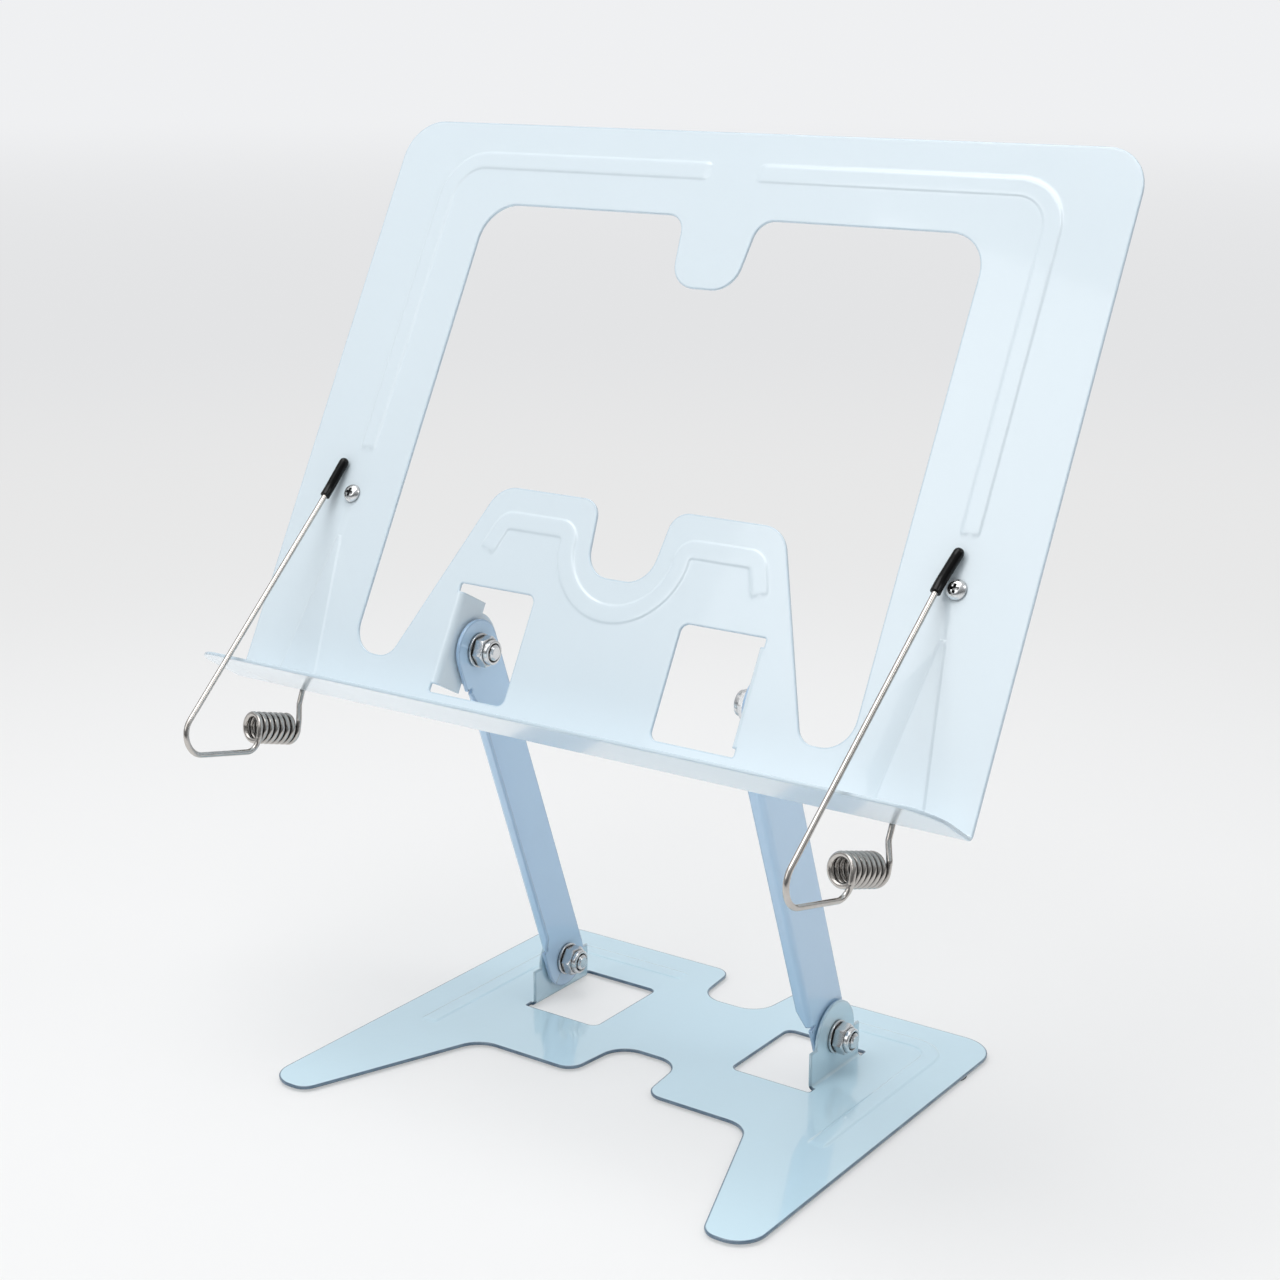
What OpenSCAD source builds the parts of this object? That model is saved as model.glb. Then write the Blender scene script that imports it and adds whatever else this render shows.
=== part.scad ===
/* [Pose at rest] */
// Forward lean of the arms from upright, degrees
arm_lean = 20.7; // [0:0.1:35]
// Backward lean of the panel from upright, degrees
panel_lean = 28.3; // [15:0.1:45]
// Sideways turn of the left clip about its screw, degrees
left_clip_turn = 3.5; // [-6:0.5:6]
// Sideways turn of the right clip about its screw, degrees
right_clip_turn = 0; // [-6:0.5:6]
// Sideways set of the left clip's front leg in its coil, degrees
left_leg_set = 2.4; // [-3:0.1:3]
// Sideways set of the right clip's front leg in its coil, degrees
right_leg_set = 0; // [-3:0.1:3]

/* [Sheet] */
// Thickness of the panel and base sheet
sheet = 1.2; // [1:0.1:1.6]
// Height that the pressed beads stand proud
bead_h = 0.8; // [0.4:0.1:1]
// Width of the pressed beads
bead_w = 7.4; // [5:0.2:9]
// Inside radius of the bends
bend_r = 1; // [0.8:0.1:2]

/* [Panel] */
// Width of the panel and its ledge
panel_w = 300; // [280:1:340]
// Height of the panel above its fold
panel_h = 224; // [218:1:260]
// Radius of the panel's top corners
panel_corner = 15; // [8:1:25]
// Depth of the book ledge
ledge_d = 31; // [22:1:32]
// Angle between the ledge and the panel, degrees
ledge_angle = 86; // [84:1:92]
// Radius of the ledge's front corners
ledge_corner = 14; // [6:1:18]

/* [Window and base blank] */
// Width of the window punched from the panel
window_w = 205; // [195:1:215]
// Height of the bar above the window
top_bar = 32; // [26:1:36]
// Radius of the window's top corners
window_corner = 14; // [8:1:20]
// Height of the lowest edge of the window's legs above the fold
leg_low = 18.5; // [14:0.5:24]
// Width of a window leg along its lowest edge
leg_w = 17.5; // [16.5:0.5:22]
// Outer radius at the bottom of a leg
leg_outer_r = 10.5; // [7:0.5:10.5]
// Inner radius at the bottom of a leg
leg_inner_r = 7; // [4:0.5:7]
// Height of the island's top edge above the fold
island_top = 86.5; // [80:0.5:92]
// Half width of the island at its top edge
island_half = 58.5; // [52:0.5:62]
// Radius of the island's shoulders
island_r = 11; // [6:0.5:13]
// Depth of the finger notches and of the tongue
notch_d = 26.5; // [20:0.5:28]
// Half width of a finger notch at its bottom
notch_low = 12.6; // [11:0.1:14]
// Half width of a finger notch at its mouth
notch_mouth = 15.5; // [14.5:0.1:18]
// Radius at the bottom of a finger notch
notch_r = 10; // [6:0.5:10.5]
// Radius at the mouth of a finger notch
mouth_r = 7; // [4:0.5:8]
// Gap that the punch leaves between base and window
punch_gap = 0.5; // [0.2:0.1:1]
// Distance of the base's front edge from its rear edge
base_front = 107; // [100:0.5:112]
// Length of the base from its rear edge to its toes
base_len = 174.5; // [168:0.5:182]

/* [Ears] */
// Distance of the ears' middle plane from the centre line
ear_x = 61.5; // [58:0.5:64]
// Distance of a pivot from the near face of its sheet
pivot_off = 13.6; // [13.2:0.2:16]
// Length of an ear along its bend
ear_foot = 34; // [28:1:36]
// Height of an ear's square shoulders above the sheet's near face
ear_shoulder = 13; // [8:0.5:15]
// Radius of an ear's round boss
ear_boss = 13.2; // [10:0.2:13.2]
// Width of the cutout that an ear is bent from
cut_w = 30.5; // [26:0.5:34]
// Length of the cutout along the bend
cut_len = 40; // [38:1:42]
// Radius of the cutout's inner corners
cut_r = 3; // [1:0.5:5]
// Width of the relief slots at the ends of a bend
slot_w = 1.6; // [1:0.2:2.4]
// Height of the panel's pivots above the fold
panel_pivot_u = 29.5; // [27:0.5:34]
// Distance of the base's pivots from its rear edge
base_pivot_y = 52.7; // [50:0.1:56]

/* [Arms] */
// Distance between the two pivots of an arm
arm_len = 145.5; // [120:0.5:160]
// Width of an arm
arm_w = 22; // [18:0.5:22]
// Thickness of an arm's sheet
arm_t = 1.5; // [1.2:0.1:2]
// Depth of an arm's front flange
flange_d = 3.6; // [2.5:0.1:5]
// Length that the flange stays short of each pivot
flange_short = 12; // [8:1:20]

/* [Fasteners] */
// Diameter of a pivot bolt
bolt_d = 6; // [5:0.5:6]
// Diameter of a pivot bolt's domed head
head_d = 10.8; // [9.5:0.1:12]
// Height of a pivot bolt's head
head_h = 3.4; // [2.6:0.1:4]
// Width of a pivot nut across its flats
nut_flats = 10; // [9:0.5:11]
// Height of a pivot nut's hexagon
nut_h = 4.2; // [3:0.1:5]
// Height of the lock collar on a pivot nut
collar_h = 1.8; // [1:0.1:2.4]
// Outer diameter of the flat washers
washer_d = 12.4; // [11:0.1:13]
// Thickness of the flat washers
washer_t = 1.2; // [0.8:0.1:1.6]
// Outer diameter of the friction washers
friction_d = 15; // [12:0.5:18]
// Thickness of the friction washers
friction_t = 0.8; // [0.6:0.1:1.2]
// Radial running clearance at the pivots
running = 0.05; // [0.02:0.01:0.1]
// Length of bolt beyond its nut
bolt_proud = 1; // [0.5:0.1:2]

/* [Page clips] */
// Diameter of the spring wire
wire_d = 2; // [1.8:0.1:2]
// Mean diameter of the coil
coil_mean = 9.7; // [9:0.1:11]
// Number of turns in the coil
coil_turns = 7; // [5:1:9]
// Distance from one turn of the coil to the next
coil_pitch = 2.5; // [2.45:0.05:2.8]
// Outer diameter of a rubber tip
tip_d = 3.6; // [3.2:0.1:4]
// Distance of the clip screws from the panel's sides
screw_inset = 26; // [20:0.5:32]
// Height of the clip screws above the fold
screw_u = 75; // [68:0.5:82]
// Diameter of a clip screw
screw_d = 4; // [3.5:0.5:4]
// Diameter of a clip screw's head
screw_head_d = 7; // [6.4:0.1:8]
// Height of a clip screw's head
screw_head_h = 2.2; // [1.6:0.1:2.4]

/* [Feet] */
// Diameter of a foot pad
pad_d = 12; // [8:0.5:14]
// Thickness of a foot pad
pad_t = 1; // [0.8:0.1:2]

/* [Hidden] */
$fn = 64;
overrun = 1;
arc_step = 12;
paint = "lightblue";
pale_paint = "aliceblue";
steel = "silver";
spring_steel = "gray";
black = "dimgray";

// Places of the pivots and of the panel's fold, with y = 0 at the base's rear edge
base_z = pad_t;
window_top = panel_h - top_bar;
screw_x = panel_w / 2 - screw_inset;
base_pivot_z = base_z + sheet + pivot_off;
top_pivot_y = -base_pivot_y - arm_len * sin(arm_lean);
top_pivot_z = base_pivot_z + arm_len * cos(arm_lean);
pivot_n = -(sheet + pivot_off);
fold_y = top_pivot_y - panel_pivot_u * sin(panel_lean) + pivot_n * cos(panel_lean);
fold_z = top_pivot_z - panel_pivot_u * cos(panel_lean) - pivot_n * sin(panel_lean);

// Planes across the pivots, measured outwards from the centre line
ear_in = ear_x - sheet / 2;
ear_out = ear_x + sheet / 2;
arm_out = ear_in - friction_t;
arm_in = arm_out - arm_t;

// A clip's wire, measured from its screw: x, height above the screw, distance in front
wire_r = wire_d / 2;
coil_r = coil_mean / 2;
eye_gap = 0.3;
eye_r = screw_d / 2 + eye_gap + wire_r;
eye_n = -(sheet + eye_gap + wire_r);
eye_turn = 260;
eye_step = 20;
coil_x = -3.7;
coil_drop = 89.4;
coil_n = -3.2;
coil_start = [coil_x, -coil_drop, coil_n];
coil_tilt_x = 9;
coil_tilt_u = 13;
kink_x = -1.5;
kink_drop = 80;
kink = [kink_x, -kink_drop, eye_n];
kink_r = 4;
kink_rise = 3.5;
tail_len = 2;
elbow_x = -2.8;
elbow_drop = 101.4;
elbow_n = 12.4;
elbow = [elbow_x, -elbow_drop, elbow_n];
elbow_r = 4.5;
front_x = -4.9;
front_drop = 113;
front_n = 52.7;
front_corner = [front_x, -front_drop, front_n];
front_r = 7.5;
sleeve_x = -4.4;
sleeve_rise = 0.5;
sleeve_n = 3.5;
sleeve_start = [sleeve_x, sleeve_rise, sleeve_n];
end_x = -2.1;
end_rise = 9.8;
wire_end = [end_x, end_rise, tip_d / 2 + eye_gap];
sleeve_bend_r = 12;
sleeve_overlap = 1.5;
tip_end = 1.4;
sleeve_gap = 0.05;
cut_gap = 0.3;
eye_washer_d = 9;
eye_washer_t = 0.8;
screw_nut_flats = 7;
screw_nut_h = 3.2;
screw_proud = 1;

// Shares and counts of the rings along the wire
coil_rings = 8;
bend_rings = 5;
coil_sides = 6;
leg_sides = 10;
cap_rings = 3;

// Unit vector along v
function unit(v) = v / norm(v);

// Arc that rounds corner b between a and c to radius r, in two or three dimensions
function corner(a, b, c, r, steps = 0) =
    let (u = unit(a - b), v = unit(c - b), half = acos(u * v) / 2)
    r == 0 || half > 89.9 ? [b] :
    let (reach = r / tan(half),
         centre = b + unit(u + v) * r / sin(half),
         p = unit(b + u * reach - centre),
         q = unit(b + v * reach - centre),
         sweep = 180 - 2 * half,
         n = steps > 0 ? steps : max(2, ceil(sweep / arc_step)))
    [for (i = [0:n])
        centre + r * (sin(sweep * (1 - i / n)) * p + sin(sweep * i / n) * q) / sin(sweep)];

// Closed outline from corner points [x, y, radius]
function rounded(pts) =
    let (n = len(pts), xy = [for (p = pts) [p.x, p.y]])
    [for (i = [0:n - 1])
        each corner(xy[(i + n - 1) % n], xy[i], xy[(i + 1) % n], pts[i].z)];

// The same corner points with their mirror image, in order round the outline
function both_sides(half) =
    concat(half, [for (i = [len(half) - 1:-1:0]) [-half[i].x, half[i].y, half[i].z]]);

// Open path with rounded corners, from corner points and one radius for each
function open_path(pts, radii, steps = 0) =
    let (last = len(pts) - 1)
    concat([pts[0]],
           [for (i = [1:last - 1]) each corner(pts[i - 1], pts[i], pts[i + 1], radii[i - 1], steps)],
           [pts[last]]);

// Outline of a band of width w along a flat path, with round ends
function band(path, w) =
    let (last = len(path) - 1,
         along = [for (i = [0:last]) unit(path[min(i + 1, last)] - path[max(i - 1, 0)])],
         side = [for (t = along) [-t.y, t.x]],
         ends = 6)
    concat([for (i = [0:last]) path[i] + side[i] * w / 2],
           [for (k = [1:ends - 1]) let (a = 180 * k / ends)
               path[last] + (side[last] * cos(a) + along[last] * sin(a)) * w / 2],
           [for (i = [last:-1:0]) path[i] - side[i] * w / 2],
           [for (k = [1:ends - 1]) let (a = 180 * k / ends)
               path[0] - (side[0] * cos(a) + along[0] * sin(a)) * w / 2]);

// Rings [centre, direction, radius] along a path of one radius
function path_rings(path, r) =
    let (last = len(path) - 1)
    [for (i = [0:last]) [path[i], unit(path[min(i + 1, last)] - path[max(i - 1, 0)]), r]];

// Rings that round the end of a tube at p, seen along dir; side is 1 at its end and -1 at its start
function end_rings(p, dir, r, side) =
    [for (i = [1:cap_rings]) let (a = 90 * (side > 0 ? i : cap_rings + 1 - i) / (cap_rings + 1))
        [p + side * r * sin(a) * dir, dir, r * cos(a)]];

// One closed skin over rings in order; face_dir is a direction that no ring faces
module skin(rings, sides, face_dir) {
    last = len(rings) - 1;
    end = last * sides;
    points = [for (ring = rings)
        let (across = unit(cross(ring[1], face_dir)), up = cross(across, ring[1]))
        for (k = [0:sides - 1]) let (a = 360 * k / sides)
            ring[0] + ring[2] * (cos(a) * across + sin(a) * up)];
    walls = [for (i = [0:last - 1]) for (k = [0:sides - 1])
        let (a = i * sides + k, b = i * sides + (k + 1) % sides)
        each [[a, b, b + sides], [a, b + sides, a + sides]]];
    start = [for (k = [1:sides - 2]) [0, k + 1, k]];
    finish = [for (k = [1:sides - 2]) [end, end + k, end + k + 1]];
    polyhedron(points, concat(walls, start, finish));
}

// Moves from the base's frame to the part's frame, whose origin is the middle of its footprint
module in_part() {
    translate([0, -middle_y, 0]) children();
}

// Moves a piece from the panel's frame (x, height above the fold, distance in front)
module on_panel() {
    in_part() translate([0, fold_y, fold_z]) rotate([90 - panel_lean, 0, 0]) children();
}

// Moves a clip piece from its screw to the panel, turned about the screw
module at_screw(side, turn) {
    on_panel() translate([side * screw_x, screw_u, 0]) rotate([0, 0, turn]) children();
}

// Moves a front leg to its clip, set sideways about its place on the coil
module at_coil(side, turn, set) {
    at_screw(side, turn) translate(leg_pivot) rotate([0, 0, set]) translate(-leg_pivot) children();
}

// Moves a fastener that points along +X to the base's pivot axis
module at_base_pivot() {
    in_part() translate([0, -base_pivot_y, base_pivot_z]) children();
}

// Moves a fastener that points along +X to the panel's pivot axis
module at_top_pivot() {
    in_part() translate([0, top_pivot_y, top_pivot_z]) children();
}

// Cylinder along +X from x0 to x1
module bar(d, x0, x1, fn = $fn) {
    translate([x0, 0, 0]) rotate([0, 90, 0]) cylinder(d = d, h = x1 - x0, $fn = fn);
}

// Outline of the window, from the tongue round to the island's notch
module window_outline() {
    half = window_w / 2;
    polygon(rounded(both_sides([
        [notch_low, window_top - notch_d, notch_r],
        [notch_mouth, window_top, mouth_r],
        [half, window_top, window_corner],
        [half, leg_low, leg_outer_r],
        [half - leg_w, leg_low, leg_inner_r],
        [island_half, island_top, island_r],
        [notch_mouth, island_top, mouth_r],
        [notch_low, island_top - notch_d, notch_r]])));
}

// Outline of the base, which is the blank that leaves the window, with y = 0 at its rear edge
module base_outline() {
    half = window_w / 2 - punch_gap;
    low = notch_low + punch_gap;
    mouth = notch_mouth + punch_gap;
    polygon(rounded(both_sides([
        [low, -notch_d, notch_r],
        [mouth, 0, mouth_r],
        [half, 0, window_corner],
        [half, -base_len, leg_outer_r],
        [half - leg_w, -base_len, leg_inner_r],
        [island_half, -base_front, island_r],
        [mouth, -base_front, mouth_r],
        [low, notch_d - base_front, notch_r]])));
}

// Cutout beside an ear, with its relief slots, on the +X side; middle is its place along y
module ear_cutout(middle) {
    inner = ear_in - cut_w;
    edge = ear_out + bend_r;
    long = cut_len / 2;
    slot = ear_foot / 2 + slot_w;
    polygon(rounded([
        [inner, middle - long, cut_r],
        [ear_in, middle - long, 0],
        [ear_in, middle - slot, 0],
        [edge, middle - slot, slot_w / 2],
        [edge, middle + slot, slot_w / 2],
        [ear_in, middle + slot, 0],
        [ear_in, middle + long, 0],
        [inner, middle + long, cut_r]]));
}

// Quarter bend of the sheet, seen along the bend, with its centre at the origin
module bend_section() {
    intersection() {
        difference() {
            circle(bend_r + sheet);
            circle(bend_r);
        }
        translate([-bend_r - sheet, -bend_r - sheet]) square(bend_r + sheet);
    }
}

// Ear that rises along +Z from a sheet whose near face is z = 0, its middle at y = 0
module ear() {
    foot = ear_foot / 2;
    difference() {
        union() {
            translate([ear_out + bend_r, foot, bend_r])
                rotate([90, 0, 0]) linear_extrude(ear_foot) bend_section();
            translate([ear_in, -foot, bend_r]) cube([sheet, ear_foot, ear_shoulder - bend_r]);
            translate([0, 0, pivot_off]) bar(2 * ear_boss, ear_in, ear_out);
        }
        translate([0, 0, pivot_off]) bar(bolt_d + 2 * running, ear_in - overrun, ear_out + overrun);
    }
}

// Prism of an outline between two heights
module between(z0, z1) {
    translate([0, 0, z0]) linear_extrude(z1 - z0) children();
}

// Path of the base's bead on the +X side
base_bead_inset = 17.5;
base_bead_end = 3;
side_bead_x = window_w / 2 - base_bead_inset;
rear_bead_y = 15.5;
function base_bead() = open_path(
    [[notch_mouth + mouth_r + bead_w, -rear_bead_y], [side_bead_x, -rear_bead_y],
     [side_bead_x, base_bead_end - base_front]], [window_corner - bead_w / 2]);

// Path of the panel's frame bead on the +X side
frame_bead_inset = 26.6;
frame_bead_rise = 17;
frame_bead_break = 11.4;
frame_bead_clear = 18.5;
frame_bead_x = panel_w / 2 - frame_bead_inset;
frame_bead_u = window_top + frame_bead_rise;
frame_bead_low = screw_u + frame_bead_clear;
function frame_bead() = open_path(
    [[frame_bead_break, frame_bead_u], [frame_bead_x, frame_bead_u], [frame_bead_x, frame_bead_low]],
    [panel_corner]);

// Path of the island's bead, round the finger notch
island_bead_drop = 12;
island_bead_clear = 11;
island_bead_side = 6.5;
island_bead_foot_in = 2.5;
island_bead_foot_drop = 23;
island_bead_centre = 15;
island_bead_flat = 6;
island_bead_turn = 4.7;
island_bead_u = island_top - island_bead_drop;
island_bead_r = notch_low + island_bead_clear;
island_bead_x = island_half - island_bead_side;
island_bead_end = [island_half - island_bead_foot_in, island_top - island_bead_foot_drop];
function island_bead() =
    let (centre = [0, island_top - island_bead_centre],
         rise = asin((island_bead_u - centre.y) / island_bead_r),
         n = 16,
         arc = [for (i = [0:n]) let (a = rise + (180 + 2 * rise) * -i / n)
             centre + island_bead_r * [cos(a), sin(a)]],
         right = open_path([island_bead_end, [island_bead_x, island_bead_u],
                            [island_bead_r + island_bead_flat, island_bead_u]],
                           [island_bead_turn]))
    concat(right, arc, [for (i = [len(right) - 1:-1:0]) [-right[i].x, right[i].y]]);

// Outline of the tapered relief below a clip screw, on the +X side
fan_drop = 13;
fan_top = screw_u - fan_drop;
fan_low = leg_low / 2;
fan_half = 9.5;
fan_tip_half = 1.4;
fan_low_r = 3;
fan_tip_r = 1;
module fan_outline(inset = 0) {
    slope = (fan_half - fan_tip_half) / (fan_top - fan_low);
    half = fan_half - inset * (1 + slope);
    tip = fan_top - inset / slope;
    polygon(rounded([
        [screw_x - half, fan_low + inset, fan_low_r],
        [screw_x + half, fan_low + inset, fan_low_r],
        [screw_x + fan_tip_half, tip, fan_tip_r],
        [screw_x - fan_tip_half, tip, fan_tip_r]]));
}

// Beads of a sheet on both sides, narrowed for the hollow behind them
module base_beads(w) {
    polygon(band(base_bead(), w));
    mirror([1, 0]) polygon(band(base_bead(), w));
}

module panel_beads(w) {
    polygon(band(frame_bead(), w));
    mirror([1, 0]) polygon(band(frame_bead(), w));
    polygon(band(island_bead(), w));
}

module base_plate() {
    groove = bead_w - 2 * sheet;
    color(paint) in_part() difference() {
        union() {
            between(base_z, base_z + sheet) difference() {
                base_outline();
                ear_cutout(-base_pivot_y);
                mirror([1, 0]) ear_cutout(-base_pivot_y);
            }
            between(base_z + sheet / 2, base_z + sheet + bead_h) base_beads(bead_w);
            for (side = [0, 1]) mirror([side, 0, 0])
                translate([0, -base_pivot_y, base_z + sheet]) ear();
        }
        between(base_z - overrun, base_z + bead_h) base_beads(groove);
    }
}

// Places of the foot pads: on the toes, and outside the bead near the rear corners
toe_inset = 13;
toe_pad = [window_w / 2 - toe_inset, toe_inset - base_len];
rear_pad = [(side_bead_x + window_w / 2) / 2 + bead_w / 4, -rear_bead_y - pad_d];

module foot_pads() {
    color(black) in_part() for (side = [-1, 1]) for (place = [toe_pad, rear_pad])
        translate([side * place.x, place.y, 0]) cylinder(d = pad_d, h = pad_t);
}

// What is cut off the ledge's front corner on the +X side, from its bend's end to its free edge
module ledge_corner_cut(half, deep) {
    arc = corner([half, 0], [half, deep], [0, deep], ledge_corner);
    polygon(concat(arc, [[half - ledge_corner, deep + overrun], [half + overrun, deep + overrun],
                         [half + overrun, deep - ledge_corner]]));
}

// Ledge with its bend, in the panel's frame
module ledge() {
    half = panel_w / 2;
    bend_out = bend_r + sheet;
    reach = 2 * bend_out;
    deep = ledge_d - bend_out;
    difference() {
        translate([-half, bend_out, bend_r]) rotate([90, 0, 90]) linear_extrude(panel_w) {
            intersection() {
                difference() {
                    circle(bend_out);
                    circle(bend_r);
                }
                polygon([[0, 0], [0, -reach], [-reach, -reach],
                         reach * [-sin(ledge_angle), cos(ledge_angle)]]);
            }
            rotate(ledge_angle) translate([0, bend_r]) square([deep, sheet]);
        }
        translate([0, bend_out * (1 - sin(ledge_angle)), bend_r + bend_out * cos(ledge_angle)])
            rotate([ledge_angle, 0, 0]) between(-sheet - overrun, overrun) {
                ledge_corner_cut(half, deep);
                mirror([1, 0]) ledge_corner_cut(half, deep);
            }
    }
}

module back_panel() {
    half = panel_w / 2;
    groove = bead_w - 2 * sheet;
    color(pale_paint) on_panel() difference() {
        union() {
            between(-sheet, 0) difference() {
                polygon(rounded([
                    [-half, bend_r + sheet, 0], [half, bend_r + sheet, 0],
                    [half, panel_h, panel_corner], [-half, panel_h, panel_corner]]));
                window_outline();
                ear_cutout(panel_pivot_u);
                mirror([1, 0]) ear_cutout(panel_pivot_u);
            }
            ledge();
            between(-sheet / 2, bead_h) {
                panel_beads(bead_w);
                fan_outline();
                mirror([1, 0]) fan_outline();
            }
            for (side = [0, 1]) mirror([side, 0, 0])
                translate([0, panel_pivot_u, -sheet]) mirror([0, 0, 1]) ear();
        }
        between(-sheet - overrun, bead_h - sheet) {
            panel_beads(groove);
            fan_outline(sheet);
            mirror([1, 0]) fan_outline(sheet);
        }
        for (side = [-1, 1]) translate([side * screw_x, screw_u, -sheet - overrun])
            cylinder(d = screw_d + 2 * running, h = sheet + 2 * overrun);
    }
}

// Arm on the +X side, with its lower pivot at the origin and upright
module arm() {
    half = arm_w / 2;
    bend_out = bend_r + arm_t;
    top = arm_len - flange_short;
    difference() {
        union() {
            bar(arm_w, arm_in, arm_out);
            translate([0, 0, arm_len]) bar(arm_w, arm_in, arm_out);
            translate([arm_in, -half, 0]) cube([arm_t, arm_w, flange_short]);
            translate([arm_in, -half, top]) cube([arm_t, arm_w, flange_short]);
            translate([arm_in, bend_out - half, flange_short])
                cube([arm_t, arm_w - bend_out, top - flange_short]);
            translate([arm_in - bend_r, bend_out - half, 0]) between(flange_short, top)
                intersection() {
                    difference() {
                        circle(bend_out);
                        circle(bend_r);
                    }
                    translate([0, -bend_out]) square(bend_out);
                }
            // the flange's ends slope back to the bend
            translate([0, arm_t - half, 0]) rotate([90, 0, 0]) linear_extrude(arm_t) polygon([
                [arm_in - bend_r, flange_short], [arm_in - bend_r, top],
                [arm_in - flange_d, top - 2 * flange_d],
                [arm_in - flange_d, flange_short + 2 * flange_d]]);
        }
        for (z = [0, arm_len]) translate([0, 0, z])
            bar(bolt_d + 2 * running, arm_in - overrun, arm_out + overrun);
    }
}

module left_arm() {
    color(paint) at_base_pivot() rotate([arm_lean, 0, 0]) mirror([1, 0, 0]) arm();
}

module right_arm() {
    color(paint) at_base_pivot() rotate([arm_lean, 0, 0]) arm();
}

// Cross recess sunk from the top of a head at x = 0, open towards -X
recess_turn = 25;
module cross_recess(size) {
    arm = size / 5;
    for (turn = [0, 90]) rotate([turn + recess_turn, 0, 0])
        translate([-overrun, -size / 2, -arm / 2]) cube([overrun + 2 * arm, size, arm]);
}

// Domed head whose underside is x = 0 and whose top points to -X
module dome_head(d, h) {
    rise = h * 3 / 4;
    dome_r = (d * d / 4 + rise * rise) / (2 * rise);
    difference() {
        rotate([0, -90, 0]) rotate_extrude() intersection() {
            translate([0, h - dome_r]) circle(dome_r);
            square([d / 2, h]);
        }
        translate([-h, 0, 0]) cross_recess(d / 2);
    }
}

// Bolt whose head's underside is at x and whose nut's seat is at x plus grip
module pivot_bolt(x, grip) {
    translate([x, 0, 0]) {
        dome_head(head_d, head_h);
        bar(bolt_d, 0, grip + nut_h + collar_h + bolt_proud);
    }
}

// Lock nut whose seat is at x
collar_step = 1;
module pivot_nut(x) {
    difference() {
        union() {
            bar(nut_flats / cos(30), x, x + nut_h, 6);
            bar(nut_flats - collar_step, x + nut_h, x + nut_h + collar_h);
        }
        bar(bolt_d + 2 * running, x - overrun, x + nut_h + collar_h + overrun);
    }
}

// Washer from x to x plus t
module ring(d, hole, x, t) {
    difference() {
        bar(d, x, x + t);
        bar(hole, x - overrun, x + t + overrun);
    }
}

// Seats of the fasteners along an axis, from head to nut, left and right
grip = sheet + friction_t + arm_t + washer_t;
left_head_x = -ear_out;
right_head_x = arm_in;
left_nut_x = left_head_x + grip;
right_nut_x = right_head_x + grip;
left_friction_x = -ear_in;
right_friction_x = arm_out;
ring_hole = bolt_d + 4 * running;

module base_left_bolt() { color(steel) at_base_pivot() pivot_bolt(left_head_x, grip); }
module base_left_nut() { color(steel) at_base_pivot() pivot_nut(left_nut_x); }
module base_left_washer() {
    color(steel) at_base_pivot() ring(washer_d, ring_hole, left_nut_x - washer_t, washer_t);
}
module base_left_friction_washer() {
    color(black) at_base_pivot() ring(friction_d, ring_hole, left_friction_x, friction_t);
}
module base_right_bolt() { color(steel) at_base_pivot() pivot_bolt(right_head_x, grip); }
module base_right_nut() { color(steel) at_base_pivot() pivot_nut(right_nut_x); }
module base_right_washer() {
    color(steel) at_base_pivot() ring(washer_d, ring_hole, right_nut_x - washer_t, washer_t);
}
module base_right_friction_washer() {
    color(black) at_base_pivot() ring(friction_d, ring_hole, right_friction_x, friction_t);
}
module panel_left_bolt() { color(steel) at_top_pivot() pivot_bolt(left_head_x, grip); }
module panel_left_nut() { color(steel) at_top_pivot() pivot_nut(left_nut_x); }
module panel_left_washer() {
    color(steel) at_top_pivot() ring(washer_d, ring_hole, left_nut_x - washer_t, washer_t);
}
module panel_left_friction_washer() {
    color(black) at_top_pivot() ring(friction_d, ring_hole, left_friction_x, friction_t);
}
// The panel's right bolt is set the other way round, so both of its nuts are between the arms
module panel_right_bolt() {
    color(steel) at_top_pivot() mirror([1, 0, 0]) pivot_bolt(left_head_x, grip);
}
module panel_right_nut() {
    color(steel) at_top_pivot() mirror([1, 0, 0]) pivot_nut(left_nut_x);
}
module panel_right_washer() {
    color(steel) at_top_pivot() mirror([1, 0, 0])
        ring(washer_d, ring_hole, left_nut_x - washer_t, washer_t);
}
module panel_right_friction_washer() {
    color(black) at_top_pivot() ring(friction_d, ring_hole, right_friction_x, friction_t);
}

// Coil of a clip: its axis, and the directions across it
coil_axis = unit([-tan(coil_tilt_x), -tan(coil_tilt_u), 1]);
coil_side = unit([1, 0, 0] - coil_axis.x * coil_axis);
coil_up = cross(coil_axis, coil_side);
function coil_point(a) = coil_start + coil_axis * coil_pitch * a / 360
    + coil_r * (cos(a) * coil_side - sin(a) * coil_up);
coil_end = coil_point(360 * coil_turns);
coil_path = [for (i = [0:coil_rings * coil_turns]) coil_point(360 * i / coil_rings)];

// Wire from the eye round the screw, down behind the panel and round the coil
eye_path = [for (a = [180 - eye_turn:eye_step:180]) [eye_r * cos(a), eye_r * sin(a), eye_n]];
back_leg = open_path([[-eye_r, 0, eye_n], kink,
                      coil_path[0] + coil_up * kink_rise, coil_path[0]],
                     [kink_r, kink_r / 2], bend_rings);
spring_path = concat(eye_path, [for (i = [1:len(back_leg) - 2]) back_leg[i]], coil_path,
                     [coil_end - coil_up * tail_len]);

// Wire of the front leg: from its ball under the coil, forward, up and back to the panel
leg_pivot = coil_end - coil_up * (tail_len + cut_gap + wire_r);
leg_path = open_path([leg_pivot, elbow, front_corner, sleeve_start, wire_end],
                     [elbow_r, front_r, sleeve_bend_r], bend_rings);

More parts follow.
